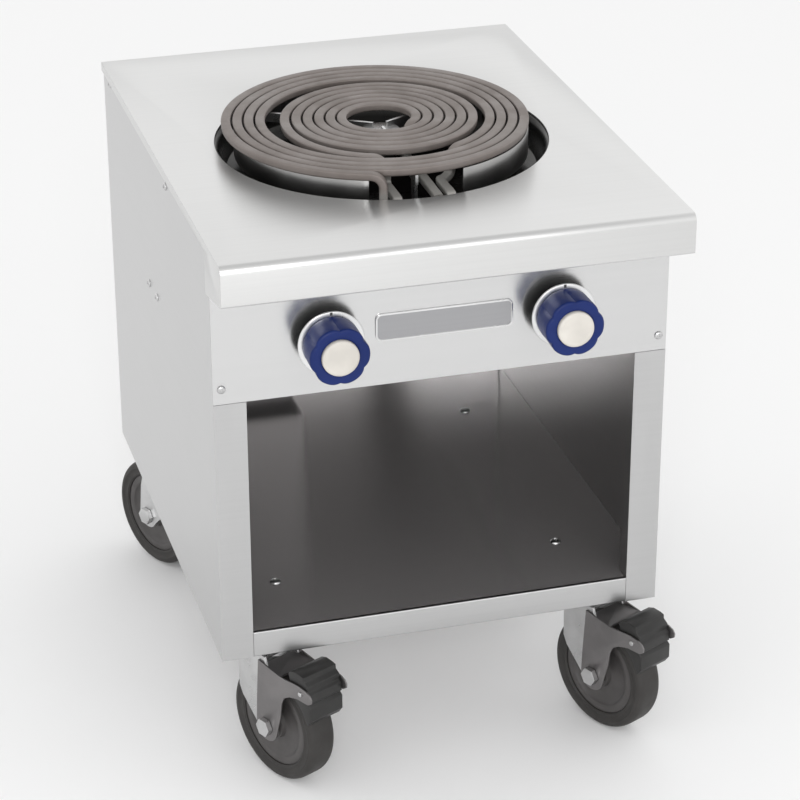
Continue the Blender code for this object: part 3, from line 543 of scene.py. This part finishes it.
def make_storage_floor():
    """Storage floor of mill-finish sheet, with the brushed bottom rail in front of it."""
    front, back, top = FLOOR_LOW.y, FLOOR_HIGH.y, FLOOR_HIGH.z
    low, half, under = FLOOR_LOW.z, FLOOR_HIGH.x, top - SHEET
    rail = [(front + RAIL_RETURN, low + SHEET), (front + SHEET, low + SHEET), (front + SHEET, under)]
    rail += [(front + PLATE_FRONT, under), (front + PLATE_FRONT, top)]
    rail += arc((front + RAIL_TURN, top - RAIL_TURN), RAIL_TURN, 90, 180, 5)
    rail += arc((front + RAIL_TURN, low + RAIL_TURN), RAIL_TURN, 180, 270, 5)
    rail += [(front + RAIL_RETURN, low)]
    give(prism("bottom_rail", rail, "X", -MOUTH_HALF, MOUTH_HALF, STEEL_SIDE_PAINTED_SHADE), "range_body", "stainless")
    notch, edge = front + RAIL_RETURN + GAP, front + PLATE_FRONT + 0.0001
    outline = [(-MOUTH_HALF, edge), (MOUTH_HALF, edge), (MOUTH_HALF, notch), (half, notch)]
    outline += [(half, back), (-half, back), (-half, notch), (-MOUTH_HALF, notch)]
    plate = prism("storage_floor", outline, "Z", under, top, STEEL_FLOOR)
    give(plate, "range_body", "stainless", "cabinet_floor")


def make_screws():
    """Every screw and bolt head of the cabinet, one mesh for each kind."""
    facing = {"-Y": (-pi / 2, 0, 0), "-X": (0, pi / 2, 0), "+X": (0, -pi / 2, 0), "+Z": (pi, 0, 0)}
    outwards, inwards = {-1: "-X", 1: "+X"}, {-1: "+X", 1: "-X"}
    panel_outside, panel_inside = PANEL_OUTSIDE_X + 0.0001, PANEL_OUTSIDE_X - SHEET
    screw = crossed_screw("screw_pattern", 0.0042, 0.0022)
    bolt = crossed_screw("bolt_pattern", 0.0058, 0.0030)
    screw_spots = []
    for side in (-1, 1):
        screw_spots.append((Vector((side * 0.2184, PANEL_Y - GAP, 0.4524)), facing["-Y"]))
        for y, z in ((-0.038, 0.584), (0.072, 0.4345), (0.032, 0.4355), (0.252, 0.590)):
            screw_spots.append((Vector((side * panel_outside, y, z)), facing[outwards[side]]))
    bolt_spots = []
    for x, y in ((-0.150, -0.140), (0.150, -0.140), (-0.150, 0.180), (0.150, 0.180)):
        bolt_spots.append((Vector((x, y, FLOOR_HIGH.z + 0.0001)), facing["+Z"]))
    for side in (-1, 1):
        for y, z in ((-0.200, 0.380), (-0.195, 0.290)):
            bolt_spots.append((Vector((side * panel_inside, y, z)), facing[inwards[side]]))
    screws = repeated("panel_screws", screw, screw_spots, ZINC)
    give(screws, "range_body", "zinc_plate", "panel_screw_left", "panel_screw_right")
    give(repeated("storage_bolts", bolt, bolt_spots, ZINC), "range_body", "zinc_plate")
    for pattern in (screw, bolt):
        bpy.data.objects.remove(pattern)


def make_nameplate():
    """Plain nameplate: a satin plate with a raised rim round a brushed field, nothing on it."""
    low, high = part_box("nameplate")
    centre = ((low.x + high.x) / 2, (low.z + high.z) / 2)
    half_x, half_z = (high.x - low.x) / 2, (high.z - low.z) / 2

    def outline(inset, corner):
        return rounded_rectangle(centre, half_x - inset, half_z - inset, corner, 8)

    plate = prism("plain_nameplate", outline(0, 0.006), "Y", low.y, high.y, SILVER)
    recess = prism("recess", outline(0.0016, 0.0044), "Y", low.y - 0.001, low.y + 0.0008, SILVER)
    bevel(boolean(plate, recess), 0.0003, 2)
    give(plate, "range_body", "silver_plate", "nameplate")
    field = outline(0.0019, 0.0041)
    field = prism("nameplate_field", field, "Y", low.y + 0.0006, low.y + 0.0010, PLATE_FIELD)
    give(field, "range_body", "silver_plate")


# Burner


def headings(points):
    """The level heading at each point; on upright runs it is blended from the ends of the run."""
    found = {}
    for index in range(len(points)):
        step = points[min(index + 1, len(points) - 1)] - points[max(index - 1, 0)]
        level = Vector((step.x, step.y, 0))
        if level.length > 0.3 * step.length:
            found[index] = level.normalized()
    known = sorted(found)
    result = []
    for index in range(len(points)):
        before = max([item for item in known if item <= index], default=known[0])
        after = min([item for item in known if item >= index], default=known[-1])
        share = (index - before) / (after - before) if after > before else 0.0
        result.append(found[before].lerp(found[after], share).normalized())
    return result


def tube_section():
    """Flat-topped heater section with rounded shoulders and a narrower foot."""
    half_width, half_height = TUBE_WIDTH / 2, TUBE_HEIGHT / 2
    shoulder_u, shoulder_v = half_width - TUBE_SHOULDER, half_height - TUBE_SHOULDER
    foot_u, foot_v = half_width - TUBE_FOOT_INSET, TUBE_FOOT_RADIUS - half_height
    points = arc((shoulder_u, shoulder_v), TUBE_SHOULDER, 0, 90, 4)
    points += arc((-shoulder_u, shoulder_v), TUBE_SHOULDER, 90, 180, 4)
    points += arc((-foot_u, foot_v), TUBE_FOOT_RADIUS, 185, 260, 4)
    points += arc((foot_u, foot_v), TUBE_FOOT_RADIUS, 280, 355, 4)
    return points


def swept_tube(name, points, material):
    """The heater section carried along points."""
    section = tube_section()
    bm = bmesh.new()
    rings = []
    for index, (point, heading) in enumerate(zip(points, headings(points))):
        along = (points[min(index + 1, len(points) - 1)] - points[max(index - 1, 0)]).normalized()
        side = Vector((heading.y, -heading.x, 0))
        side = (side - along * side.dot(along)).normalized()
        up = side.cross(along)
        rings.append([bm.verts.new(point + side * u + up * v) for u, v in section])
    for ring, following in zip(rings, rings[1:]):
        for index in range(len(section)):
            after = (index + 1) % len(section)
            bm.faces.new([ring[index], ring[after], following[after], following[index]])
    bm.faces.new(rings[0])
    bm.faces.new(rings[-1][::-1])
    return settle(name, bm, material, 40)


def spiral(centre_x, start_radius, start_angle, sweep, crossing=0, step_out=0.0):
    """Points of a spiral that grows anticlockwise and steps out over its last `crossing` degrees."""
    steps = round(sweep / 360 * 90)
    points = []
    for step in range(steps + 1):
        turned_by = sweep * step / steps
        late = max(0.0, (turned_by - sweep + crossing) / crossing) if crossing else 0.0
        radius = start_radius + TURN_PITCH * turned_by / 360 + step_out * late * late * (3 - 2 * late)
        angle = radians(start_angle + turned_by)
        x, y = centre_x + radius * cos(angle), ELEMENT_Y + radius * sin(angle)
        points.append(Vector((x, y, ELEMENT_Z)))
    return points


def dive(start, heading, bend=0.012, steps=12):
    """A quarter bend from a level heading to straight down."""
    turns = [pi / 2 * step / steps for step in range(1, steps + 1)]
    return [start + heading * bend * sin(turn) - Vector((0, 0, bend * (1 - cos(turn)))) for turn in turns]


def eased(points, steps=6):
    """A smooth curve through the points (Catmull-Rom)."""
    padded = [points[0], *points, points[-1]]
    curve = []
    for before, start, end, after in zip(padded, padded[1:], padded[2:], padded[3:]):
        for step in range(steps):
            t = step / steps
            slope = (end - before) * t
            curve_in = (2 * before - 5 * start + 4 * end - after) * t * t
            curve_out = (3 * start - before - 3 * end + after) * t * t * t
            curve.append((2 * start + slope + curve_in + curve_out) / 2)
    return curve + [points[-1]]


def lead_run(dived, lead_x):
    """From the foot of a dive: level under the support to the front, then down to the terminals."""
    bend = 0.006
    turn = [
        Vector((dived.x, dived.y, LEAD_Z + bend)),
        Vector((dived.x * 0.8 + lead_x * 0.2, dived.y - 0.3 * bend, LEAD_Z + 0.3 * bend)),
        Vector((dived.x * 0.4 + lead_x * 0.6, dived.y - bend, LEAD_Z)),
        Vector((lead_x, dived.y - 2 * bend, LEAD_Z)),
        Vector((lead_x, LEAD_Y + bend, LEAD_Z)),
        Vector((lead_x, LEAD_Y + 0.3 * bend, LEAD_Z - 0.3 * bend)),
        Vector((lead_x, LEAD_Y, LEAD_Z - bend)),
        Vector((lead_x, LEAD_Y, LEAD_END_Z)),
    ]
    return eased(turn)


def make_elements():
    """The inner and outer heaters, each one tube end to end; returns the foot of the outer one's dive."""
    inner = spiral(0.001, 0.0335, -40, 2090, 86, 0.0096)
    first = dive(inner[0], (inner[0] - inner[1]).normalized())
    last = dive(inner[-1], (inner[-1] - inner[-2]).normalized())
    path = (first + lead_run(first[-1], INNER_LEADS_X[1]))[::-1] + inner + last
    path += lead_run(last[-1], INNER_LEADS_X[0])
    give(swept_tube("inner_heater", path, SHEATH), "range_body", "heater_sheath", "inner_element")
    outer = spiral(-0.003, 0.1106, 300, 1392)
    first = dive(outer[0], (outer[0] - outer[1]).normalized())
    last = dive(outer[-1], (outer[-1] - outer[-2]).normalized())
    foot = [last[-1] - Vector((0, 0, drop)) for drop in (0.010, 0.030)]
    foot.append(Vector((last[-1].x, last[-1].y, LEAD_END_Z)))
    path = (first + lead_run(first[-1], OUTER_LEAD_X))[::-1] + outer + last + foot
    give(swept_tube("outer_heater", path, SHEATH), "range_body", "heater_sheath", "outer_element")
    return last[-1]


def make_cold_ends(outer_foot):
    """Bright sleeves on the four leads where they come down to the terminals."""
    profile = [(0.0050, 0.0), (0.0062, -0.0006), (0.0062, -0.0150), (0.0050, -0.0156)]
    sleeve = lathe("sleeve", profile, ZINC, sides=32)
    places = [(x, LEAD_Y) for x in (*INNER_LEADS_X, OUTER_LEAD_X)] + [(outer_foot.x, outer_foot.y)]
    spots = [(Vector((x, y, LEAD_Z - 0.008)), (0, 0, 0)) for x, y in places]
    give(repeated("lead_sleeves", sleeve, spots, ZINC), "range_body", "zinc_plate")
    bpy.data.objects.remove(sleeve)


def make_bowl():
    """Deep enamelled bowl under the element, notched in front for the leads."""
    rim_z = DECK_Z - 0.0023
    outside = [(0.1790, 0.0), (0.1790, BOWL_SHEET), (0.1676, BOWL_SHEET), (0.1664, 0.0030), (0.1640, 0.0060)]
    outside += [(0.1600, 0.0220), (0.1575, 0.0280), (0.1500, 0.0320), (0.1250, 0.0340), (0.0500, 0.0360)]
    outside += [(0.0, 0.0360)]
    inside = [(0.0, 0.0348), (0.0500, 0.0348), (0.1250, 0.0328), (0.1492, 0.0308), (0.1562, 0.0272)]
    inside += [(0.1588, 0.0215), (0.1628, 0.0056), (0.1648, 0.0016), (0.1666, 0.0)]
    profile = [(radius, rim_z - depth) for radius, depth in outside + inside]
    bowl = lathe("drip_bowl", profile, BOWL, (0, BURNER_Y, 0), sides=128)
    front, back = BURNER_Y - 0.170, BURNER_Y - 0.134
    for low, high in ((-0.0475, -0.0085), (0.0075, 0.0360)):
        outline = [(low, front), (high, front), (high, back), (low, back)]
        boolean(bowl, prism("notch", outline, "Z", DECK_Z - 0.060, DECK_Z - 0.010, BOWL))
    give(bowl, "range_body", "dark_steel", "burner_bowl")


def make_hoop():
    """Polished hoop round the support's arms, open in front for the leads."""
    top, middle = ELEMENT_Z - TUBE_HEIGHT / 2 - GAP, (0, ELEMENT_Y)
    around = arc(middle, HOOP_OUTER, HOOP_START, HOOP_END, 160)
    around += arc(middle, HOOP_INNER, HOOP_END, HOOP_START, 160)
    hoop = prism("support_hoop", around, "Z", top - HOOP_HEIGHT, top, HOOP)
    give(bevel(hoop, 0.0003), "range_body", "zinc_plate")


# Knobs


def make_skirt(label, body, centre):
    """Satin skirt ring with a plain index tick, on a black back whose black is painted shade for the shaded
    gap behind the skirt that the panel reflects.
    """
    ring = [(0.0262, 0.0002), (0.0308, 0.0), (0.0321, 0.0006), (SKIRT_RADIUS, 0.0014), (0.0323, 0.0022)]
    ring += [(0.0262, 0.0020)]
    profile = [(radius, SKIRT_Y + depth) for radius, depth in ring]
    skirt = lathe(f"{label}_skirt_ring", profile, SILVER, centre, "Y", 128)
    give(skirt, body, "silver_plate", f"{label}_dial_skirt")
    # The back is black as painted shade: the panel reflects it as the dark, shaded space behind the skirt.
    shell = [(SHAFT_BORE, 0.0021), (0.0316, 0.0021), (0.0312, 0.0032), (0.0284, 0.0045), (0.0120, 0.0045)]
    shell += [(0.0110, 0.0085), (0.0060, 0.0085), (0.0055, 0.0045), (SHAFT_BORE, 0.0045)]
    profile = [(radius, SKIRT_Y + depth) for radius, depth in shell]
    give(lathe(f"{label}_skirt_back", profile, BLACK, centre, "Y", 96), body, "black_plastic")
    tick = [(-0.0012, 0.0289), (0.0012, 0.0289), (0.0012, 0.0318), (-0.0012, 0.0318)]
    outline = [(centre[0] + u, centre[2] + v) for u, v in tick]
    mark = prism(f"{label}_index_tick", outline, "Y", SKIRT_Y - 0.00025, SKIRT_Y + 0.0008, MARK)
    give(mark, body, "black_plastic")


def make_knob(side, label):
    """Skirt, six-lobed blue grip and domed cream cap."""
    body = f"{label}_knob"
    centre = (side * KNOB_X, 0, KNOB_Z)
    make_skirt(label, body, centre)
    back, front = SKIRT_Y - GAP, GRIP_FRONT_Y

    def lobes(angle, along, radius):
        share = min(1.0, max(0.0, (back - along) / LOBE_RUN_IN))
        return LOBE_DEPTH * share * (1 - abs(cos(3 * angle))) ** 1.6 if radius > LOBES_OUTSIDE else 0.0

    edge = 0.0026
    profile = [(SHAFT_BORE, back), (0.0278, back), (0.0283, back - 0.0012), (0.0286, back - 0.0060)]
    profile += [(0.0289, back - 0.0140), (0.0291, back - 0.0220), (GRIP_RADIUS, front + 0.0030)]
    profile += arc((GRIP_RADIUS - edge, front + edge), edge, 0, -90, 7)[1:]
    profile += [(0.0222, front), (0.0196, front), (0.0186, front + 0.0005), (0.0185, front + 0.0020)]
    profile += [(SHAFT_BORE, front + 0.0020)]
    grip = lathe(f"{label}_grip", profile, BLUE, centre, "Y", 144, lobes, 40)
    give(grip, body, "blue_plastic", f"{label}_knob_grip")

    dome = [(0.0, -0.0018), (CAP_RADIUS, -0.0018), (CAP_RADIUS, 0.0014), (0.0177, 0.0024), (0.0168, 0.0032)]
    dome += [(0.0150, 0.0036), (0.0090, 0.0041), (0.0, 0.0042)]
    profile = [(radius, front - height) for radius, height in dome]
    cap = lathe(f"{label}_cap", profile, CREAM, centre, "Y", 96, None, 50)
    give(cap, body, "cream_plastic", f"{label}_knob_cap")


# Casters


def swung(obj, corner):
    """Moves a caster piece, modelled about its swivel axis with its trail towards -Y, to its corner."""
    end, side = corner
    turn = Matrix.Rotation(SWIVEL_ANGLE[end], 4, "Z")
    obj.data.transform(Matrix.Translation((side * SWIVEL_X, SWIVEL_Y[end], 0)) @ turn)
    return obj


def both_faces(face):
    """Closed wheel profile from one face's (radius, distance out) points, mirrored for the other face."""
    return face + [(radius, -along) for radius, along in face[::-1]]


def make_wheel(name, body, corner):
    """Tyre with a crowned tread and a bead line, on a dished hub."""
    half, centre = WHEEL_WIDTH / 2, (0, -TRAIL, WHEEL_RADIUS)
    wall = [(0.0462, 0.0026), (0.0480, 0.0012), (0.0500, 0.0018), (0.0535, 0.0014), (0.0556, 0.0002)]
    wall += [(TREAD_Z, 0.0006)]
    for step in range(1, 7):
        turn = pi / 12 * step
        crown = (WHEEL_RADIUS - TREAD_Z) * sin(turn), 0.0006 + 0.0075 * (1 - cos(turn))
        wall.append((TREAD_Z + crown[0], crown[1]))
    profile = both_faces([(radius, half - inset) for radius, inset in wall])
    tyre = swung(lathe(name + "_tyre_rubber", profile, RUBBER, centre, "X", 96), corner)
    give(tyre, body, "tyre_rubber", name + "_tyre")
    dish = [(0.0064, -0.0005), (0.0140, -0.0005), (0.0155, 0.0004), (0.0168, 0.0050), (0.0200, 0.0066)]
    dish += [(0.0340, 0.0066), (0.0366, 0.0052), (0.0380, 0.0036), (0.0400, 0.0030), (0.0445, 0.0030)]
    dish += [(0.0459, 0.0036)]
    profile = both_faces([(radius, half - inset) for radius, inset in dish])
    hub = swung(lathe(name + "_dished_hub", profile, HUB, centre, "X", 72), corner)
    give(hub, body, "hub_plastic", name + "_hub")


def drilled(piece, centre, radius, sides, material):
    """Cuts a hole right through the piece along X."""
    return boolean(piece, prism("drill", circle(centre, radius, sides), "X", -0.04, 0.04, material))


def make_fork(name, body, corner):
    """Pressed fork: two tapering legs under a crown, drilled for the axle and a small pin."""
    top = RACE_BOTTOM_Z
    leg = [(0.012, top - 0.0004), (-0.030, top - 0.0004), (-0.040, 0.112), (-0.044, 0.098)]
    leg += arc(AXLE, 0.0150, 190, 335, 14) + [(0.006, 0.082), (0.011, 0.092)]
    crown = [(-LEG_OUTER, -0.030), (LEG_OUTER, -0.030), (LEG_OUTER, 0.012), (0.012, 0.026)]
    crown += [(-0.012, 0.026), (-LEG_OUTER, 0.012)]
    fork = bevel(prism(name + "_pressed_fork", crown, "Z", top - 0.0035, top, ZINC), 0.0004)
    for sign in (-1, 1):
        low, high = sorted((sign * LEG_INNER, sign * LEG_OUTER))
        boolean(fork, bevel(prism("leg", leg, "X", low, high, ZINC), 0.0005, 2), "UNION")
    drilled(fork, AXLE, 0.0064, 24, ZINC)
    drilled(fork, (-0.029, 0.118), 0.0022, 16, ZINC)
    give(swung(fork, corner), body, "zinc_plate", name + "_fork")


def make_cheeks(name, corner, body):
    """Brake cheeks outside the fork's legs, joined by a cross piece in front of the crown."""
    outline = [(-0.0220, 0.1360), (-0.0400, 0.1332), (-0.0550, 0.1312), (-0.0650, 0.1312), (-0.0750, 0.1325)]
    outline += [(-0.0860, 0.1330), (-0.0950, 0.1318), (-0.1015, 0.1292), (-0.1043, 0.1255), (-0.1040, 0.1210)]
    outline += [(-0.0990, 0.1175), (-0.0910, 0.1172), (-0.0830, 0.1172), (-0.0700, 0.1135), (-0.0620, 0.1085)]
    outline += [(-0.0580, 0.1000), (-0.0560, 0.0850)] + arc(AXLE, 0.0165, 200, 340, 14) + [(-0.0185, 0.0850)]
    cheeks = None
    for sign in (-1, 1):
        low, high = sorted((sign * (LEG_OUTER + 0.0001), sign * (LEG_OUTER + CHEEK_THICKNESS)))
        cheek = prism(name + "_brake_cheeks", outline, "X", low, high, CHEEK)
        bevel(drilled(cheek, AXLE, 0.0063, 24, CHEEK), 0.0004, 2)
        cheeks = boolean(cheeks, cheek, "UNION") if cheeks else cheek
    reach = LEG_OUTER + 0.0010
    cross = [(-reach, -0.0560), (reach, -0.0560), (reach, -0.0260), (-reach, -0.0260)]
    boolean(cheeks, bevel(prism("cross", cross, "Z", 0.1290, 0.1312, CHEEK), 0.0004), "UNION")
    give(swung(cheeks, corner), body, "zinc_plate")


def make_pedal(name, corner, body):
    """Stepped black pedal between the cheeks, drilled for its pin."""
    half = LEG_OUTER - 0.0004 - GAP
    side = [(-0.0660, 0.1390), (-0.0690, 0.1425), (-0.0760, 0.1450), (-0.0850, 0.1444), (-0.0900, 0.1432)]
    side += [(-0.0905, 0.1385), (-0.0955, 0.1350), (-0.0955, 0.1290), (-0.0990, 0.1265), (-0.0990, 0.1170)]
    side += [(-0.0965, 0.1150), (-0.0998, 0.1120), (-0.0998, 0.0970), (-0.0975, 0.0940), (-0.0945, 0.0897)]
    side += [(-0.0860, 0.1040), (-0.0770, 0.1120), (-0.0700, 0.1270)]
    pedal = bevel(prism(name + "_stepped_pedal", side, "X", -half, half, BLACK), 0.0009, 3)
    drilled(pedal, PEDAL_PIVOT, 0.0028, 16, BLACK)
    give(swung(pedal, corner), body, "black_plastic", name + "_brake_pedal")


def make_mounting(name, corner):
    """Top plate with rounded corners and the double ball race under it."""
    end, side = corner
    centre = (side * SWIVEL_X, SWIVEL_Y[end])
    outline = rounded_rectangle(centre, PLATE_HALF_X, PLATE_HALF_Y, PLATE_CORNER, 5)
    plate = prism(name + "_top_plate", outline, "Z", PLATE_TOP_Z - PLATE_THICKNESS, PLATE_TOP_Z, ZINC)
    bevel(plate, 0.0005)
    low, high = RACE_BOTTOM_Z + GAP, PLATE_TOP_Z - 0.0035
    middle = (low + high) / 2
    race = [(0.0, low), (0.0240, low), (0.0265, low + 0.0012), (0.0285, low + 0.0030)]
    race += [(0.0290, middle - 0.0008), (0.0276, middle - 0.0004)]
    race += [(0.0276, middle + 0.0004), (0.0290, middle + 0.0008)]
    race += [(0.0282, high - 0.0016), (0.0262, high), (0.0, high)]
    boolean(plate, lathe("race", race, ZINC, (*centre, 0), sides=56), "UNION")
    give(plate, "range_body", "zinc_plate", name + "_plate")


def make_casters():
    """Four casters, the front two with brakes, and the bolts of their plates as one mesh."""
    bolt = hexagon_bolt("bolt_pattern", 0.0058, 0.0045)
    bolt_z = PLATE_TOP_Z - PLATE_THICKNESS - 0.0001
    spots = []
    for end in ("front", "rear"):
        for side, label in ((-1, "left"), (1, "right")):
            place, corner = f"{end}_{label}", (end, side)
            name = "caster_" + place
            make_wheel(name, place + "_wheel", corner)
            make_fork(name, place + "_swivel", corner)
            if end == "front":
                make_cheeks(name, corner, place + "_swivel")
                make_pedal(name, corner, place + "_brake")
                dress(name + "_pedal_pin", ZINC, 0.0004)
            make_mounting(name, corner)
            dress(name + "_axle", ZINC, 0.0006)
            for x in (-BOLT_X, BOLT_X):
                for y in (-BOLT_Y, BOLT_Y):
                    spots.append((Vector((side * SWIVEL_X + x, SWIVEL_Y[end] + y, bolt_z)), (0, 0, 0)))
    give(repeated("caster_bolts", bolt, spots, ZINC), "range_body", "zinc_plate")
    bpy.data.objects.remove(bolt)


# Studio


def make_sky():
    """Pale sky, brightest about a third of the way up and dimmer overhead."""
    world = bpy.data.worlds.new("studio_world")
    world.use_nodes = True
    bpy.context.scene.world = world
    tree = world.node_tree
    background = tree.nodes["Background"]
    split = tree.nodes.new("ShaderNodeSeparateXYZ")
    ramp = tree.nodes.new("ShaderNodeValToRGB")
    stops = ramp.color_ramp.elements
    while len(stops) < len(SKY_LEVELS):
        stops.new(0.5)
    for stop, (height, level) in zip(stops, SKY_LEVELS):
        stop.position = height
        stop.color = (level, level, level, 1)
    tree.links.new(tree.nodes.new("ShaderNodeTexCoord").outputs["Generated"], split.inputs["Vector"])
    tree.links.new(split.outputs["Z"], ramp.inputs["Fac"])
    tree.links.new(ramp.outputs["Color"], background.inputs["Color"])
    background.inputs["Strength"].default_value = SKY_STRENGTH


def make_softbox(name, place, target, size, power):
    """A square area light aimed at a point."""
    lamp = bpy.data.lights.new(name, "AREA")
    lamp.size = size
    lamp.energy = power
    obj = bpy.data.objects.new(name, lamp)
    obj.location = place
    obj.rotation_euler = (Vector(target) - Vector(place)).to_track_quat("-Z", "Y").to_euler()
    bpy.context.scene.collection.objects.link(obj)


def make_camera():
    """Three-quarter view from the front left, looking down."""
    camera = bpy.data.cameras.new("studio_camera")
    camera.sensor_width = CAMERA_SENSOR
    camera.lens = CAMERA_LENS
    obj = bpy.data.objects.new("studio_camera", camera)
    bpy.context.scene.collection.objects.link(obj)
    level = cos(CAMERA_PITCH)
    forward = Vector((sin(-CAMERA_YAW) * level, cos(CAMERA_YAW) * level, sin(CAMERA_PITCH)))
    right = forward.cross(Vector((0, 0, 1))).normalized()
    up = right.cross(forward)
    axis_x = cos(CAMERA_ROLL) * right + sin(CAMERA_ROLL) * up
    axis_y = cos(CAMERA_ROLL) * up - sin(CAMERA_ROLL) * right
    turn = Matrix((axis_x, axis_y, -forward)).transposed()
    obj.matrix_world = Matrix.Translation(CAMERA_PLACE) @ turn.to_4x4()
    bpy.context.scene.camera = obj


def make_studio():
    """Pale floor, sky, two softboxes and the camera."""
    bm = bmesh.new()
    bmesh.ops.create_grid(bm, x_segments=1, y_segments=1, size=9.0)
    settle("studio_floor", bm, Finish("pale_floor", (0.90, 0.90, 0.90), 0.75).material)
    make_sky()
    make_softbox("key_softbox", (-0.95, -3.40, 2.05), (0.0, 0.0, 0.35), 0.9, 34)
    make_softbox("front_softbox", (0.70, -2.50, 1.90), (0.20, -0.90, 0.0), 1.1, 6)
    make_camera()
    bpy.context.scene.view_settings.view_transform = "Standard"


# The kept CAD nodes with their finish and edge rounding, then the pieces made here

for nodes, material, round_edges in (
    # Side panels take the darker stainless, whose darkness is painted shade.
    (("left_side_panel", "right_side_panel"), STEEL_SIDE_PAINTED_SHADE, 0.0005),
    (("control_panel",), STEEL_FASCIA, 0.0005),
    (("back_panel",), STEEL_BACK, 0.0005),
    # The partition takes the darkened galvanised colour, which is painted shade.
    (("compartment_floor",), PARTITION_PAINTED_SHADE, 0.0005),
    (("wiring_duct",), STEEL_DUCT, 0.0005),
    (("left_base_channel", "right_base_channel"), CHANNEL, 0.0005),
    (("supply_inlet_bushing",), BLACK, 0.0005),
    (("terminal_bracket",), ZINC, 0.0005),
    (("terminal_block",), CERAMIC, 0.0012),
    (("left_switch", "right_switch"), BLACK, 0.0008),
    (("element_support", "left_switch_nut", "right_switch_nut"), ZINC, 0.0003),
    (("left_knob_shaft", "right_knob_shaft"), ZINC, 0.0003),
):
    for node_name in nodes:
        dress(node_name, material, round_edges)
make_deck()
make_storage_floor()
make_nameplate()
make_screws()
make_bowl()
make_hoop()
make_cold_ends(make_elements())
for knob_side, knob_label in ((-1, "left"), (1, "right")):
    make_knob(knob_side, knob_label)
make_casters()
make_studio()
